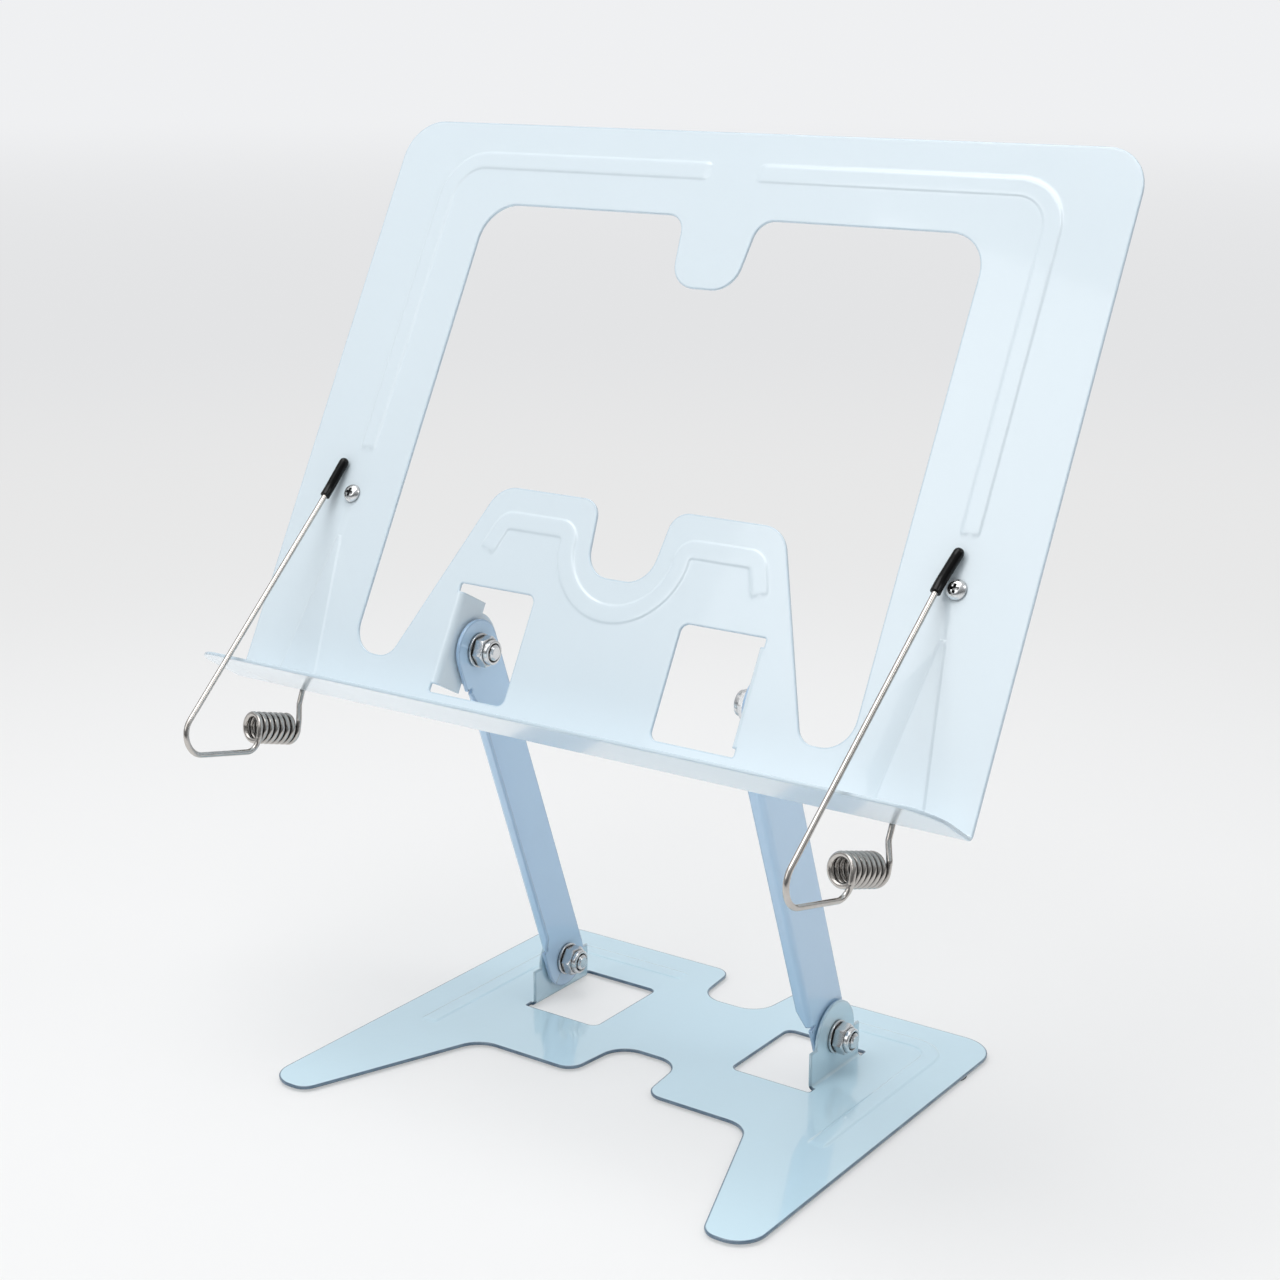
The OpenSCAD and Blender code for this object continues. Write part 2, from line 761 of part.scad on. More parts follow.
// Path of the rubber tip: the end of the leg, from a little below its last bend
tip_from = len(leg_path) - bend_rings - 2;
tip_dir = unit(leg_path[tip_from] - leg_path[tip_from - 1]);
tip_path = concat([leg_path[tip_from] - tip_dir * sleeve_overlap],
                  [for (i = [tip_from:len(leg_path) - 1]) leg_path[i]]);
tip_last = tip_path[len(tip_path) - 1];
tip_out = unit(tip_last - tip_path[len(tip_path) - 2]);

module clip_spring() {
    skin(path_rings(spring_path, wire_r), coil_sides, coil_axis);
}

module clip_leg() {
    rings = path_rings(leg_path, wire_r);
    skin(concat(end_rings(leg_pivot, rings[0][1], wire_r, -1), rings), leg_sides, [1, 0, 0]);
}

// Rubber tip: its bore's skin from the bottom to the mouth, then its outside back to a round end
module clip_tip() {
    bore_r = wire_r + sleeve_gap;
    bore = path_rings(concat(tip_path, [tip_last + tip_out * sleeve_gap]), bore_r);
    outside = path_rings(concat(tip_path, [tip_last + tip_out * tip_end]), tip_d / 2);
    back = [for (i = [len(bore) - 1:-1:0]) bore[i]];
    skin(concat(back, outside, end_rings(tip_last + tip_out * tip_end, tip_out, tip_d / 2, 1)),
         leg_sides, [1, 0, 0]);
}

module left_clip_spring() { color(spring_steel) at_screw(-1, left_clip_turn) clip_spring(); }
module left_clip_leg() {
    color(spring_steel) at_coil(-1, left_clip_turn, left_leg_set) clip_leg();
}
module left_clip_tip() {
    color(black) at_coil(-1, left_clip_turn, left_leg_set) clip_tip();
}
module right_clip_spring() { color(spring_steel) at_screw(1, right_clip_turn) clip_spring(); }
module right_clip_leg() {
    color(spring_steel) at_coil(1, right_clip_turn, right_leg_set) clip_leg();
}
module right_clip_tip() {
    color(black) at_coil(1, right_clip_turn, right_leg_set) clip_tip();
}

// Screw that holds a clip's eye, its head in front and its nut behind
eye_seat = eye_n - wire_r - eye_gap;
module clip_screw() {
    rotate([0, 90, 0]) {
        dome_head(screw_head_d, screw_head_h);
        bar(screw_d, 0, screw_proud + screw_nut_h + eye_washer_t - eye_seat);
    }
}

module clip_washer() {
    rotate([0, 90, 0]) ring(eye_washer_d, screw_d + 2 * running, -eye_seat, eye_washer_t);
}

module clip_nut() {
    seat = eye_washer_t - eye_seat;
    rotate([0, 90, 0]) difference() {
        bar(screw_nut_flats / cos(30), seat, seat + screw_nut_h, 6);
        bar(screw_d + 2 * running, seat - overrun, seat + screw_nut_h + overrun);
    }
}

module left_clip_screw() { color(steel) at_screw(-1, 0) clip_screw(); }
module left_clip_nut() { color(steel) at_screw(-1, 0) clip_nut(); }
module left_clip_washer() { color(steel) at_screw(-1, 0) clip_washer(); }
module right_clip_screw() { color(steel) at_screw(1, 0) clip_screw(); }
module right_clip_nut() { color(steel) at_screw(1, 0) clip_nut(); }
module right_clip_washer() { color(steel) at_screw(1, 0) clip_washer(); }

// A clip's point turned about an axis along the panel's normal, and its place in the part's frame
function turned(p, centre, turn) =
    let (d = p - centre)
    centre + [d.x * cos(turn) - d.y * sin(turn), d.x * sin(turn) + d.y * cos(turn), d.z];
function placed(p, side, turn) =
    let (c = turned(p, [0, 0, 0], turn), u = screw_u + c.y)
    [side * screw_x + c.x,
     fold_y + u * sin(panel_lean) - c.z * cos(panel_lean),
     fold_z + u * cos(panel_lean) + c.z * sin(panel_lean)];

// Middle of the footprint, from the foremost point of a clip to the base's rear edge
function leg_front(turn, set) =
    min([for (p = leg_path) placed(turned(p, leg_pivot, set), 1, turn).y]) - wire_r;
middle_y = min(leg_front(left_clip_turn, left_leg_set),
               leg_front(right_clip_turn, right_leg_set), -base_len) / 2;

// Places of the joints in the part's frame
to_part = [0, -middle_y, 0];
echo(base_pivot = [0, -base_pivot_y, base_pivot_z] + to_part);
echo(top_pivot = [0, top_pivot_y, top_pivot_z] + to_part);
echo(left_screw = placed([0, 0, 0], -1, 0) + to_part);
echo(right_screw = placed([0, 0, 0], 1, 0) + to_part);
echo(left_lift = placed(leg_pivot, -1, left_clip_turn) + to_part);
echo(right_lift = placed(leg_pivot, 1, right_clip_turn) + to_part);

// Least gap of the spring to itself, between rings that lie well apart along the wire
along_spring = [for (i = 0, s = 0; i < len(spring_path);
    s = s + norm(spring_path[min(i + 1, len(spring_path) - 1)] - spring_path[i]), i = i + 1) s];
coil_gap = min([for (i = [0:len(spring_path) - 1]) for (j = [i:len(spring_path) - 1])
    if (along_spring[j] - along_spring[i] > coil_mean)
        norm(spring_path[i] - spring_path[j])]) - wire_d;
echo(coil_gap = coil_gap);

base_plate();
foot_pads();
left_arm();
right_arm();
back_panel();
base_left_bolt();
base_left_nut();
base_left_washer();
base_left_friction_washer();
base_right_bolt();
base_right_nut();
base_right_washer();
base_right_friction_washer();
panel_left_bolt();
panel_left_nut();
panel_left_washer();
panel_left_friction_washer();
panel_right_bolt();
panel_right_nut();
panel_right_washer();
panel_right_friction_washer();
left_clip_spring();
left_clip_leg();
left_clip_tip();
right_clip_spring();
right_clip_leg();
right_clip_tip();
left_clip_screw();
left_clip_nut();
left_clip_washer();
right_clip_screw();
right_clip_nut();
right_clip_washer();
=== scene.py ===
# %% [markdown]
# # A folding book stand in pale blue sheet steel
# The CAD model is loaded first. It is the frame that every piece below is fitted to,
# so nothing has to be lined up by eye. The finished model has to stay inside it.

# %% Load the frame
from math import asin, ceil, cos, pi, radians, sin, tan, tau

import bmesh
import bpy
import numpy as np
from mathutils import Matrix, Vector, geometry


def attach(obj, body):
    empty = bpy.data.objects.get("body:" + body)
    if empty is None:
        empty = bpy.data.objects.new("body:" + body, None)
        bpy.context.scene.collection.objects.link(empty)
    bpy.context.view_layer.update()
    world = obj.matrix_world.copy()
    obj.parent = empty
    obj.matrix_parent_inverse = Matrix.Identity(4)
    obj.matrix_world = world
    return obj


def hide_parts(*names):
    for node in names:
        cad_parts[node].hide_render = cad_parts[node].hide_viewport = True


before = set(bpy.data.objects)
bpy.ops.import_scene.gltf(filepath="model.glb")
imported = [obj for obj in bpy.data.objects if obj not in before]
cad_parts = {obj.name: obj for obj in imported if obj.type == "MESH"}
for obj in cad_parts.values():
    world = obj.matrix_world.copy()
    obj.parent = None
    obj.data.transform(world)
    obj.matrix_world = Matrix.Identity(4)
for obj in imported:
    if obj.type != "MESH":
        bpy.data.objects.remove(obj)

MM = 0.001
scene = bpy.context.scene
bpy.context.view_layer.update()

# %% [markdown]
# ## The camera
# The picture was taken from the front right and a little above. The lens and the place were
# worked out from the corners of the panel and the base, so the camera is set from its own
# axes: right, up, and back towards the photographer.

# %% Camera
AZIMUTH, ELEVATION, ROLL = 0.6078373816, 0.2688231758, 0.004648511
FOCAL_PX, IMAGE_PX, SENSOR = 2262.89, 1280, 36.0
EYE = Vector((430.05, -612.68, 368.83)) * MM

back = Vector((sin(AZIMUTH) * cos(ELEVATION), -cos(AZIMUTH) * cos(ELEVATION),
               sin(ELEVATION)))
level = Vector((cos(AZIMUTH), sin(AZIMUTH), 0))
upright = back.cross(level)
right = level * cos(ROLL) + upright * sin(ROLL)
up = upright * cos(ROLL) - level * sin(ROLL)


def new_piece(name, data):
    """An object that holds a mesh, a camera or a lamp, at the origin."""
    piece = bpy.data.objects.new(name, data)
    scene.collection.objects.link(piece)
    return piece


camera_data = bpy.data.cameras.new("camera")
camera_data.sensor_width = SENSOR
camera_data.lens = FOCAL_PX / IMAGE_PX * SENSOR
camera_data.clip_start, camera_data.clip_end = 0.02, 60
camera = new_piece("camera", camera_data)
camera.matrix_world = Matrix((right, up, back)).transposed().to_4x4()
camera.matrix_world.translation = EYE
scene.camera = camera
scene.view_settings.view_transform = "Standard"
print("lens, mm:", round(camera_data.lens, 2))

# %% [markdown]
# ## Small helpers for node trees
# Materials and Geometry Nodes are both trees of nodes. `add` puts in one node, sets its
# options and links or fills its inputs. `maths`, `mix`, `remap` and `noise` do the same for
# the nodes that are used most.

# %% Node helpers
def feed(node, inputs):
    """Fills inputs, given by name or number, with sockets or plain values."""
    for where, value in inputs.items():
        socket = node.inputs[where]
        if isinstance(value, bpy.types.NodeSocket):
            node.id_data.links.new(value, socket)
        else:
            socket.default_value = value


def add(tree, kind, inputs=None, **options):
    """One node of a tree with its options and inputs."""
    made = tree.nodes.new(kind)
    for option, value in options.items():
        setattr(made, option, value)
    feed(made, inputs or {})
    return made


def maths(operation, a, b=0.0, c=0.0):
    """A Math node's result; the node joins the tree that its first socket is in."""
    tree = next(v.id_data for v in (a, b, c) if isinstance(v, bpy.types.NodeSocket))
    return add(tree, "ShaderNodeMath", {0: a, 1: b, 2: c}, operation=operation).outputs[0]


def mix(factor, a, b):
    """A colour between a and b, each a socket or (red, green, blue)."""
    a, b = (c if isinstance(c, bpy.types.NodeSocket) else (*c, 1) for c in (a, b))
    return add(factor.id_data, "ShaderNodeMix", {"Factor": factor, 6: a, 7: b},
               data_type="RGBA").outputs[2]


def remap(value, from_min, from_max, to_min, to_max, kind="LINEAR"):
    """A value moved from one range to another."""
    ends = {0: value, 1: from_min, 2: from_max, 3: to_min, 4: to_max}
    return add(value.id_data, "ShaderNodeMapRange", ends,
               interpolation_type=kind).outputs[0]


def noise(tree, scale, detail, roughness=0.5):
    """A noise pattern that is fixed to the object."""
    place = add(tree, "ShaderNodeTexCoord").outputs["Object"]
    return add(tree, "ShaderNodeTexNoise", {"Vector": place, "Scale": scale, "Detail": detail,
                                            "Roughness": roughness}).outputs["Fac"]


def new_tree(name, kind, inputs, outputs):
    """A node group with named inputs and outputs; each is (name, socket type, value)."""
    tree = bpy.data.node_groups.new(name, kind)
    for in_out, sockets in (("INPUT", inputs), ("OUTPUT", outputs)):
        for label, socket_type, value in sockets:
            socket = tree.interface.new_socket(label, in_out=in_out, socket_type=socket_type)
            if value is not None:
                socket.default_value = value
    return tree, tree.nodes.new("NodeGroupInput").outputs, tree.nodes.new("NodeGroupOutput")


FLOAT, VECTOR, COLOR = "NodeSocketFloat", "NodeSocketVector", "NodeSocketColor"
GEOMETRY, OBJECT, MATERIAL = "NodeSocketGeometry", "NodeSocketObject", "NodeSocketMaterial"
INTEGER = "NodeSocketInt"

# %% [markdown]
# ## Floor and light
# The stand was photographed on a seamless pale sweep under very soft light. A wide disc is
# the floor. Near the stand it is lit paper that keeps the shadow, and further off it fades
# into the plain tone of the background, so that no horizon shows. A world and three soft
# lamps give the light. The world is bright above, and near the horizon it is brighter on the
# side away from the camera. It has a few darker bands there, because plated steel only
# looks like metal when it has something dark to mirror.

# %% Floor
def plain_mesh(name, points, faces, edges=()):
    """A mesh from lists of points and faces."""
    mesh = bpy.data.meshes.new(name)
    mesh.from_pydata(points, edges, faces)
    mesh.update()
    return mesh


def new_material(name):
    """A material with its tree and its Principled shader."""
    material = bpy.data.materials.new(name)
    material.use_nodes = True
    tree = material.node_tree
    return material, tree, tree.nodes["Principled BSDF"]


def ramp(factor, stops):
    """A soft Color Ramp with stops (place, colour)."""
    made = add(factor.id_data, "ShaderNodeValToRGB", {0: factor})
    made.color_ramp.interpolation = "EASE"
    elements = made.color_ramp.elements
    while len(elements) < len(stops):
        elements.new(0.5)
    for element, (place, colour) in zip(elements, stops):
        element.position = place
        element.color = (*colour, 1)
    return made.outputs["Color"]


FLOOR_RADIUS, FLOOR_SIDES = 9.0, 96
ring = [(FLOOR_RADIUS * cos(tau * k / FLOOR_SIDES),
         FLOOR_RADIUS * sin(tau * k / FLOOR_SIDES), 0) for k in range(FLOOR_SIDES)]
floor = new_piece("floor", plain_mesh("floor", ring, [tuple(range(FLOOR_SIDES))]))

PAPER_FAR = (0.865, 0.872, 0.886)
FADE_START, FADE_END, TONE_REACH = 0.25, 1.2, 8.0
paper, tree, shader = new_material("paper_sweep")
feed(shader, {"Base Color": (0.90, 0.90, 0.90, 1), "Roughness": 0.9,
              "Specular IOR Level": 0.1})
place = add(tree, "ShaderNodeTexCoord").outputs["Object"]
distance = add(tree, "ShaderNodeVectorMath", {0: place}, operation="LENGTH").outputs["Value"]
far = remap(distance, FADE_START, FADE_END, 0.5, 1.0, "SMOOTHSTEP")
looked_at = add(tree, "ShaderNodeLightPath").outputs["Is Camera Ray"]
tone = ramp(maths("DIVIDE", distance, TONE_REACH),
            [(0.0, (0.86, 0.86, 0.86)), (0.045, (0.84, 0.84, 0.84)),
             (0.10, (0.81, 0.81, 0.81)), (0.25, (0.77, 0.775, 0.785)), (1.0, PAPER_FAR)])
distant = add(tree, "ShaderNodeEmission", {"Color": tone, "Strength": 1.0})
mixed = add(tree, "ShaderNodeMixShader", {0: maths("MULTIPLY", far, looked_at),
                                          1: shader.outputs[0], 2: distant.outputs[0]})
feed(tree.nodes["Material Output"], {"Surface": mixed.outputs[0]})
floor.data.materials.append(paper)

# %% World and lamps
BAND_COUNT, BAND_DEPTH, NEAR_SIDE, FAR_SIDE, AWAY = 3, 0.8, 0.45, 2.5, (0.57, 0.82)
world = bpy.data.worlds.new("studio")
scene.world = world
world.use_nodes = True
tree = world.node_tree
tree.nodes.clear()
direction = add(tree, "ShaderNodeTexCoord").outputs["Generated"]
parts = add(tree, "ShaderNodeSeparateXYZ", {0: direction}).outputs
height = maths("MULTIPLY_ADD", parts["Z"], 0.5, 0.5)
sky = ramp(height, [(0.0, (0.45, 0.46, 0.47)), (0.47, (0.27, 0.28, 0.29)),
                    (0.62, (0.33, 0.34, 0.35)), (1.0, (0.66, 0.67, 0.68))])
turn = maths("ARCTAN2", parts["Y"], parts["X"])
wave = maths("SINE", maths("MULTIPLY", turn, BAND_COUNT))
bands = maths("POWER", maths("MULTIPLY_ADD", wave, 0.5, 0.5), 3)
near_level = maths("SUBTRACT", 1, maths("ABSOLUTE", parts["Z"]))
dark = maths("MULTIPLY", bands, maths("POWER", near_level, 3))
studio = mix(maths("MULTIPLY", dark, BAND_DEPTH), sky, (0.05, 0.05, 0.055))
away = maths("SUBTRACT", maths("MULTIPLY", parts["Y"], AWAY[1]),
             maths("MULTIPLY", parts["X"], AWAY[0]))
brighter = remap(away, -1.0, 0.9, NEAR_SIDE, FAR_SIDE)
brighter = maths("MULTIPLY_ADD", maths("SUBTRACT", brighter, 1), near_level, 1)
studio = add(tree, "ShaderNodeVectorMath", {0: studio, "Scale": brighter},
             operation="SCALE").outputs[0]
looked_at = add(tree, "ShaderNodeLightPath").outputs["Is Camera Ray"]
background = add(tree, "ShaderNodeBackground",
                 {"Color": mix(looked_at, studio, PAPER_FAR), "Strength": 1.0})
add(tree, "ShaderNodeOutputWorld", {"Surface": background.outputs[0]})


def soft_lamp(name, place, target, size, power, colour):
    """A square area lamp that points at a target."""
    lamp = bpy.data.lights.new(name, "AREA")
    lamp.size, lamp.energy, lamp.color = size, power, colour
    holder = new_piece(name, lamp)
    holder.location = place
    towards = Vector(target) - Vector(place)
    holder.rotation_euler = towards.to_track_quat("-Z", "Y").to_euler()


LAMPS = [("top_box", (-0.15, -0.3, 1.6), (0, 0, 0.1), 1.1, 13, (1.0, 1.0, 1.0)),
         ("front_box", (-0.5, -1.35, 1.2), (0, 0, 0.2), 0.9, 4.2, (1.0, 1.0, 1.0)),
         ("right_box", (1.4, 0.3, 1.3), (0, 0, 0.15), 0.5, 2.2, (0.98, 0.99, 1.0))]
for values in LAMPS:
    soft_lamp(*values)
print("lamps:", len(LAMPS))

# %% [markdown]
# ## Finishes
# Sprayed paint is never quite flat: it dries with a faint orange peel and its colour drifts a
# little. The cut edges get painted shade, a darker colour where they sit in shadow. Three
# paints share these effects, so they are one node group, which gives a colour, a roughness
# and a height. It reads Object coordinates, so the pattern has its real size. The `rim`
# attribute marks a sheet's edges, where the shade is painted.

# %% Shared effect of the paints
DRIFT_SCALE, SPECKLE_SCALE, SMEAR_SCALE, PEEL_DEPTH = 14.0, 160.0, 30.0, 0.00006


def finish_group():
    """Colour drift and orange peel of sprayed paint, and painted shade along its cut edges."""
    tree, given, result = new_tree("sprayed_paint_and_edge_shade", "ShaderNodeTree", [
        ("Color", COLOR, (0.7, 0.8, 0.9, 1)), ("Edge Shade Color", COLOR, (0.9, 0.95, 1, 1)),
        ("Drift", FLOAT, 0.03), ("Peel Scale", FLOAT, 420.0), ("Gloss", FLOAT, 0.18),
        ("Edge Shade Amount", FLOAT, 0.5)],
        [("Color", COLOR, None), ("Roughness", FLOAT, None), ("Height", FLOAT, None)])
    swing = maths("SUBTRACT", noise(tree, DRIFT_SCALE, 3.0), 0.5)
    value = maths("MULTIPLY_ADD", swing, given["Drift"], 1.0)
    body = add(tree, "ShaderNodeHueSaturation", {"Color": given["Color"], "Value": value})
    # The rim mask, made patchy by noise, mixes in the edge colour: painted shade along the cut
    # edges.
    rim = add(tree, "ShaderNodeAttribute", attribute_name="rim").outputs["Fac"]
    patchy = maths("MULTIPLY_ADD", noise(tree, SPECKLE_SCALE, 2.0), 0.4, 0.8)
    edge = maths("MULTIPLY", rim, maths("MULTIPLY", patchy, given["Edge Shade Amount"]))
    smear = noise(tree, SMEAR_SCALE, 4.0)
    feed(result, {"Color": mix(edge, body.outputs[0], given["Edge Shade Color"]),
                  "Roughness": maths("MULTIPLY_ADD", smear, 0.10, given["Gloss"]),
                  "Height": noise(tree, given["Peel Scale"], 1.5, 0.4)})
    return tree


SPRAYED_AND_EDGE_SHADE = finish_group()


def add_bump(shader, height, distance, strength=0.5):
    """Feeds a height, in metres at full strength, to a shader's normal."""
    bump = add(shader.id_data, "ShaderNodeBump", {"Height": height, "Distance": distance,
                                                  "Strength": strength})
    feed(shader, {"Normal": bump.outputs[0]})


def paint(name, colour, edge, edge_shade_amount, gloss, coat, coat_ior=1.5):
    """Glossy sprayed paint on sheet steel, with painted shade along its cut edges."""
    material, tree, shader = new_material(name)
    group = add(tree, "ShaderNodeGroup", {
        "Color": (*colour, 1), "Edge Shade Color": (*edge, 1), "Gloss": gloss,
        "Edge Shade Amount": edge_shade_amount}, node_tree=SPRAYED_AND_EDGE_SHADE).outputs
    feed(shader, {"Base Color": group["Color"], "Roughness": group["Roughness"],
                  "Coat Weight": coat, "Coat Roughness": 0.03, "Coat IOR": coat_ior})
    add_bump(shader, group["Height"], PEEL_DEPTH, 0.35)
    return material


# The three parts carry one pale blue paint, and these tones are lit and shaded copies of it: the
# darker arm tone and the deeper blue base tone are painted shade. The nearly black edge colour
# of the base paints the shadow along the plate's edges, next to the floor.
PANEL_PAINT = paint("panel_paint", (0.70, 0.79, 0.845), (0.45, 0.58, 0.68), 0.5, 0.14, 0.45)
SHADED_BASE_PAINT = paint("base_paint", (0.59, 0.79, 0.89), (0.06, 0.12, 0.19), 0.95, 0.08, 1.0, 1.65)
SHADED_ARM_PAINT = paint("arm_paint", (0.50, 0.69, 0.88), (0.30, 0.43, 0.60), 0.6, 0.12, 0.8)

# %% [markdown]
# Bright zinc and the spring wire are metals: their colour is in the reflection. Both carry
# faint marks and a faint cloud, and they get painted shade in narrow gaps, such as the screws'
# recesses and between the coils. Rubber and plastic are not metallic.

# %% Metals, rubber and plastic
CLOUD_SCALE, PAINTED_GAP_SHADE, OPEN_FROM, OPEN_TO = 260.0, 0.85, 0.5, 0.97


def plated(name, colour, stain, rough, scale, depth, gap):
    """Plated steel with a faint cloud and fine marks, and painted shade in gaps narrower than a
    length.
    """
    material, tree, shader = new_material(name)
    # Ambient occlusion darkens the colour in narrow gaps: painted shade.
    open_sky = add(tree, "ShaderNodeAmbientOcclusion", {"Distance": gap}, samples=8)
    closed = remap(open_sky.outputs["AO"], OPEN_FROM, OPEN_TO, PAINTED_GAP_SHADE, 0.0)
    tint = mix(noise(tree, CLOUD_SCALE, 4.0), colour, stain)
    marks = noise(tree, scale, 3.0)
    feed(shader, {"Base Color": mix(closed, tint, (0.05, 0.05, 0.05)), "Metallic": 1,
                  "Roughness": maths("MULTIPLY_ADD", marks, 0.16, rough)})
    add_bump(shader, marks, depth)
    return material


def matt(name, colour, other, rough, scale, depth, shine=0.5):
    """Rubber or plastic with a fine moulded grain."""
    material, tree, shader = new_material(name)
    grain = noise(tree, scale, 3.0)
    feed(shader, {"Base Color": mix(grain, colour, other), "Specular IOR Level": shine,
                  "Roughness": maths("MULTIPLY_ADD", grain, 0.15, rough)})
    add_bump(shader, grain, depth)
    return material


ZINC = plated("bright_zinc", (0.80, 0.80, 0.80), (0.62, 0.63, 0.64), 0.14, 900.0, 0.00001,
              0.0015)
WIRE = plated("spring_wire", (0.60, 0.57, 0.54), (0.46, 0.43, 0.40), 0.12, 1400.0, 0.000001,
              0.002)
TIP_RUBBER = matt("tip_rubber", (0.002, 0.002, 0.002), (0.004, 0.004, 0.004), 0.10, 500.0,
                  0.000004, 0.2)
PAD_RUBBER = matt("pad_rubber", (0.05, 0.05, 0.052), (0.09, 0.09, 0.09), 0.6, 900.0, 0.00003)
FRICTION_PLASTIC = matt("friction_plastic", (0.10, 0.11, 0.12), (0.15, 0.16, 0.17), 0.45,
                        600.0, 0.00001)
print("materials:", len(bpy.data.materials))

# %% [markdown]
# ## Sizes
# These are the sizes of the real stand in millimetres. The flat shapes below are cut from
# them as a press would cut them, and then folded.

# %% Sizes of the sheet parts
PANEL_LEAN, ARM_LEAN = radians(28.3), radians(20.7)
MIDDLE_Y = 93.519
SHEET, BEND_R = 1.2, 1.0
BEAD_H, BEAD_W, TOOL_HALF, SHOULDER = 0.35, 7.4, 2.6, 1.1
BEND_OUT = BEND_R + SHEET
MID_R = BEND_R + SHEET / 2
FOLD_Y, FOLD_Z = -37.628, 132.949
PANEL_W, PANEL_H, LEDGE_D, LEDGE_FOLD = 300.0, 224.0, 31.0, radians(180 - 86)
BASE_Z = 1.0
BASE_PIVOT = Vector((0, 40.819, 15.8))
TOP_PIVOT = Vector((0, -10.6116, 151.907))
PIVOT_OFF, PIVOT_U, BASE_PIVOT_Y = 13.6, 29.5, 52.7
EAR_X, EAR_HALF, EAR_SHOULDER, EAR_BOSS = 61.5, 17.0, 13.0, 13.2
CUT_W, CUT_HALF, CUT_R = 30.5, 20.0, 3.0
BOLT_HOLE, SCREW_HOLE = 3.05, 2.05
SCREW_X, SCREW_U = 124.0, 75.0
ARM_LEN, ARM_W, ARM_T, FLANGE_D, FLANGE_SHORT = 145.5, 22.0, 1.5, 3.6, 12.0
FRICTION_T, WASHER_T = 0.8, 1.2
EAR_IN, EAR_OUT = EAR_X - SHEET / 2, EAR_X + SHEET / 2
ARM_OUT = EAR_IN - FRICTION_T
ARM_IN = ARM_OUT - ARM_T

panel_turn = Matrix(((1, 0, 0, 0),
                     (0, sin(PANEL_LEAN), -cos(PANEL_LEAN), FOLD_Y),
                     (0, cos(PANEL_LEAN), sin(PANEL_LEAN), FOLD_Z),
                     (0, 0, 0, 1)))
TO_METRES = Matrix.Scale(MM, 4)

# %% [markdown]
# ## Flat blanks
# A press cuts the sheet along closed outlines. `rounded` turns corner points with radii into
# such an outline, and `crossings` adds points where an edge meets a fold line, so that
# the sheet can bend there. The blank is then built in three parts: a triangulated front, the
# same back, and a rim between them whose edges are slightly round, as paint leaves them.

# %% Outlines
def corner(a, b, c, radius, step=radians(9)):
    """Points of the arc that rounds corner b between a and c."""
    u, v = (a - b).normalized(), (c - b).normalized()
    half = u.angle(v) / 2
    if radius == 0 or half > radians(89.9):
        return [b.copy()]
    centre = b + (u + v).normalized() * radius / sin(half)
    reach = radius / tan(half)
    p, q = (b + u * reach - centre).normalized(), (b + v * reach - centre).normalized()
    sweep = pi - 2 * half
    n = max(2, ceil(sweep / step))
    return [centre + radius * (p * sin(sweep * (1 - i / n)) + q * sin(sweep * i / n))
            / sin(sweep) for i in range(n + 1)]


def rounded(points):
    """Closed outline from corner points (x, y, radius)."""
    xy = [Vector(p[:2]) for p in points]
    made = []
    for i, p in enumerate(points):
        made += corner(xy[i - 1], xy[i], xy[(i + 1) % len(xy)], p[2])
    return made


def both_sides(half):
    """The corner points with their mirror image, in order round the outline."""
    return half + [(-x, y, r) for x, y, r in reversed(half)]


def mirrored(path):
    """A flat path on the other side of the middle."""
    return [Vector((-p.x, p.y)) for p in path]


def open_path(points, radii, step=radians(9)):
    """Open path with rounded corners, in two or three dimensions."""
    points = [Vector(p) for p in points]
    made = [points[0]]
    for i, radius in enumerate(radii, 1):
        made += corner(points[i - 1], points[i], points[i + 1], radius, step)
    return made + [points[-1]]


def circle(x, y, radius, sides=40):
    """Round hole."""
    return [Vector((x + radius * cos(tau * k / sides),
                    y + radius * sin(tau * k / sides))) for k in range(sides)]


def arc(x, y, radius, start, end, count):
    """Points of an arc between two angles."""
    return [Vector((x + radius * cos(a), y + radius * sin(a)))
            for a in np.linspace(start, end, count)]


def crossings(loop, lines):
    """Adds a point wherever an edge of the loop crosses a line (axis, value)."""
    made = []
    for i, a in enumerate(loop):
        b = loop[(i + 1) % len(loop)]
        shares = sorted((value - a[axis]) / (b[axis] - a[axis]) for axis, value in lines
                        if (a[axis] - value) * (b[axis] - value) < -1e-9)
        made.append(a)
        made += [a.lerp(b, s) for s in shares]
    return made


def spaced(path, step):
    """The same path with points at even steps."""
    made = [path[0]]
    for a, b in zip(path, path[1:]):
        n = max(1, round((b - a).length / step))
        made += [a.lerp(b, k / n) for k in range(1, n + 1)]
    return made

# %% Blank of a sheet part
def turned_to(loop, outer):
    """The loop in the order that keeps the sheet on its left."""
    area = sum(a.cross(b) for a, b in zip(loop, loop[1:] + loop[:1]))
    return loop if (area > 0) == outer else loop[::-1]


def moved_in(loop, distance):
    """The loop moved into the sheet by a distance."""
    made = []
    for i, here in enumerate(loop):
        before, after = here - loop[i - 1], loop[(i + 1) % len(loop)] - here
        n1 = Vector((-before.y, before.x)).normalized()
        n2 = Vector((-after.y, after.x)).normalized()
        made.append(here + (n1 + n2) * distance / (1 + n1.dot(n2)))
    return made


def rim_rows(thick, radius, support=0.4):
    """Rows (distance in, height) from the front face round the edge to the back face."""
    half, steps = thick / 2, 3
    front = [(radius + support, half)]
    for k in range(steps + 1):
        a = pi / 2 * k / steps
        front.append((radius * (1 - sin(a)), half - radius * (1 - cos(a))))
    return front + [(d, -h) for d, h in reversed(front)]


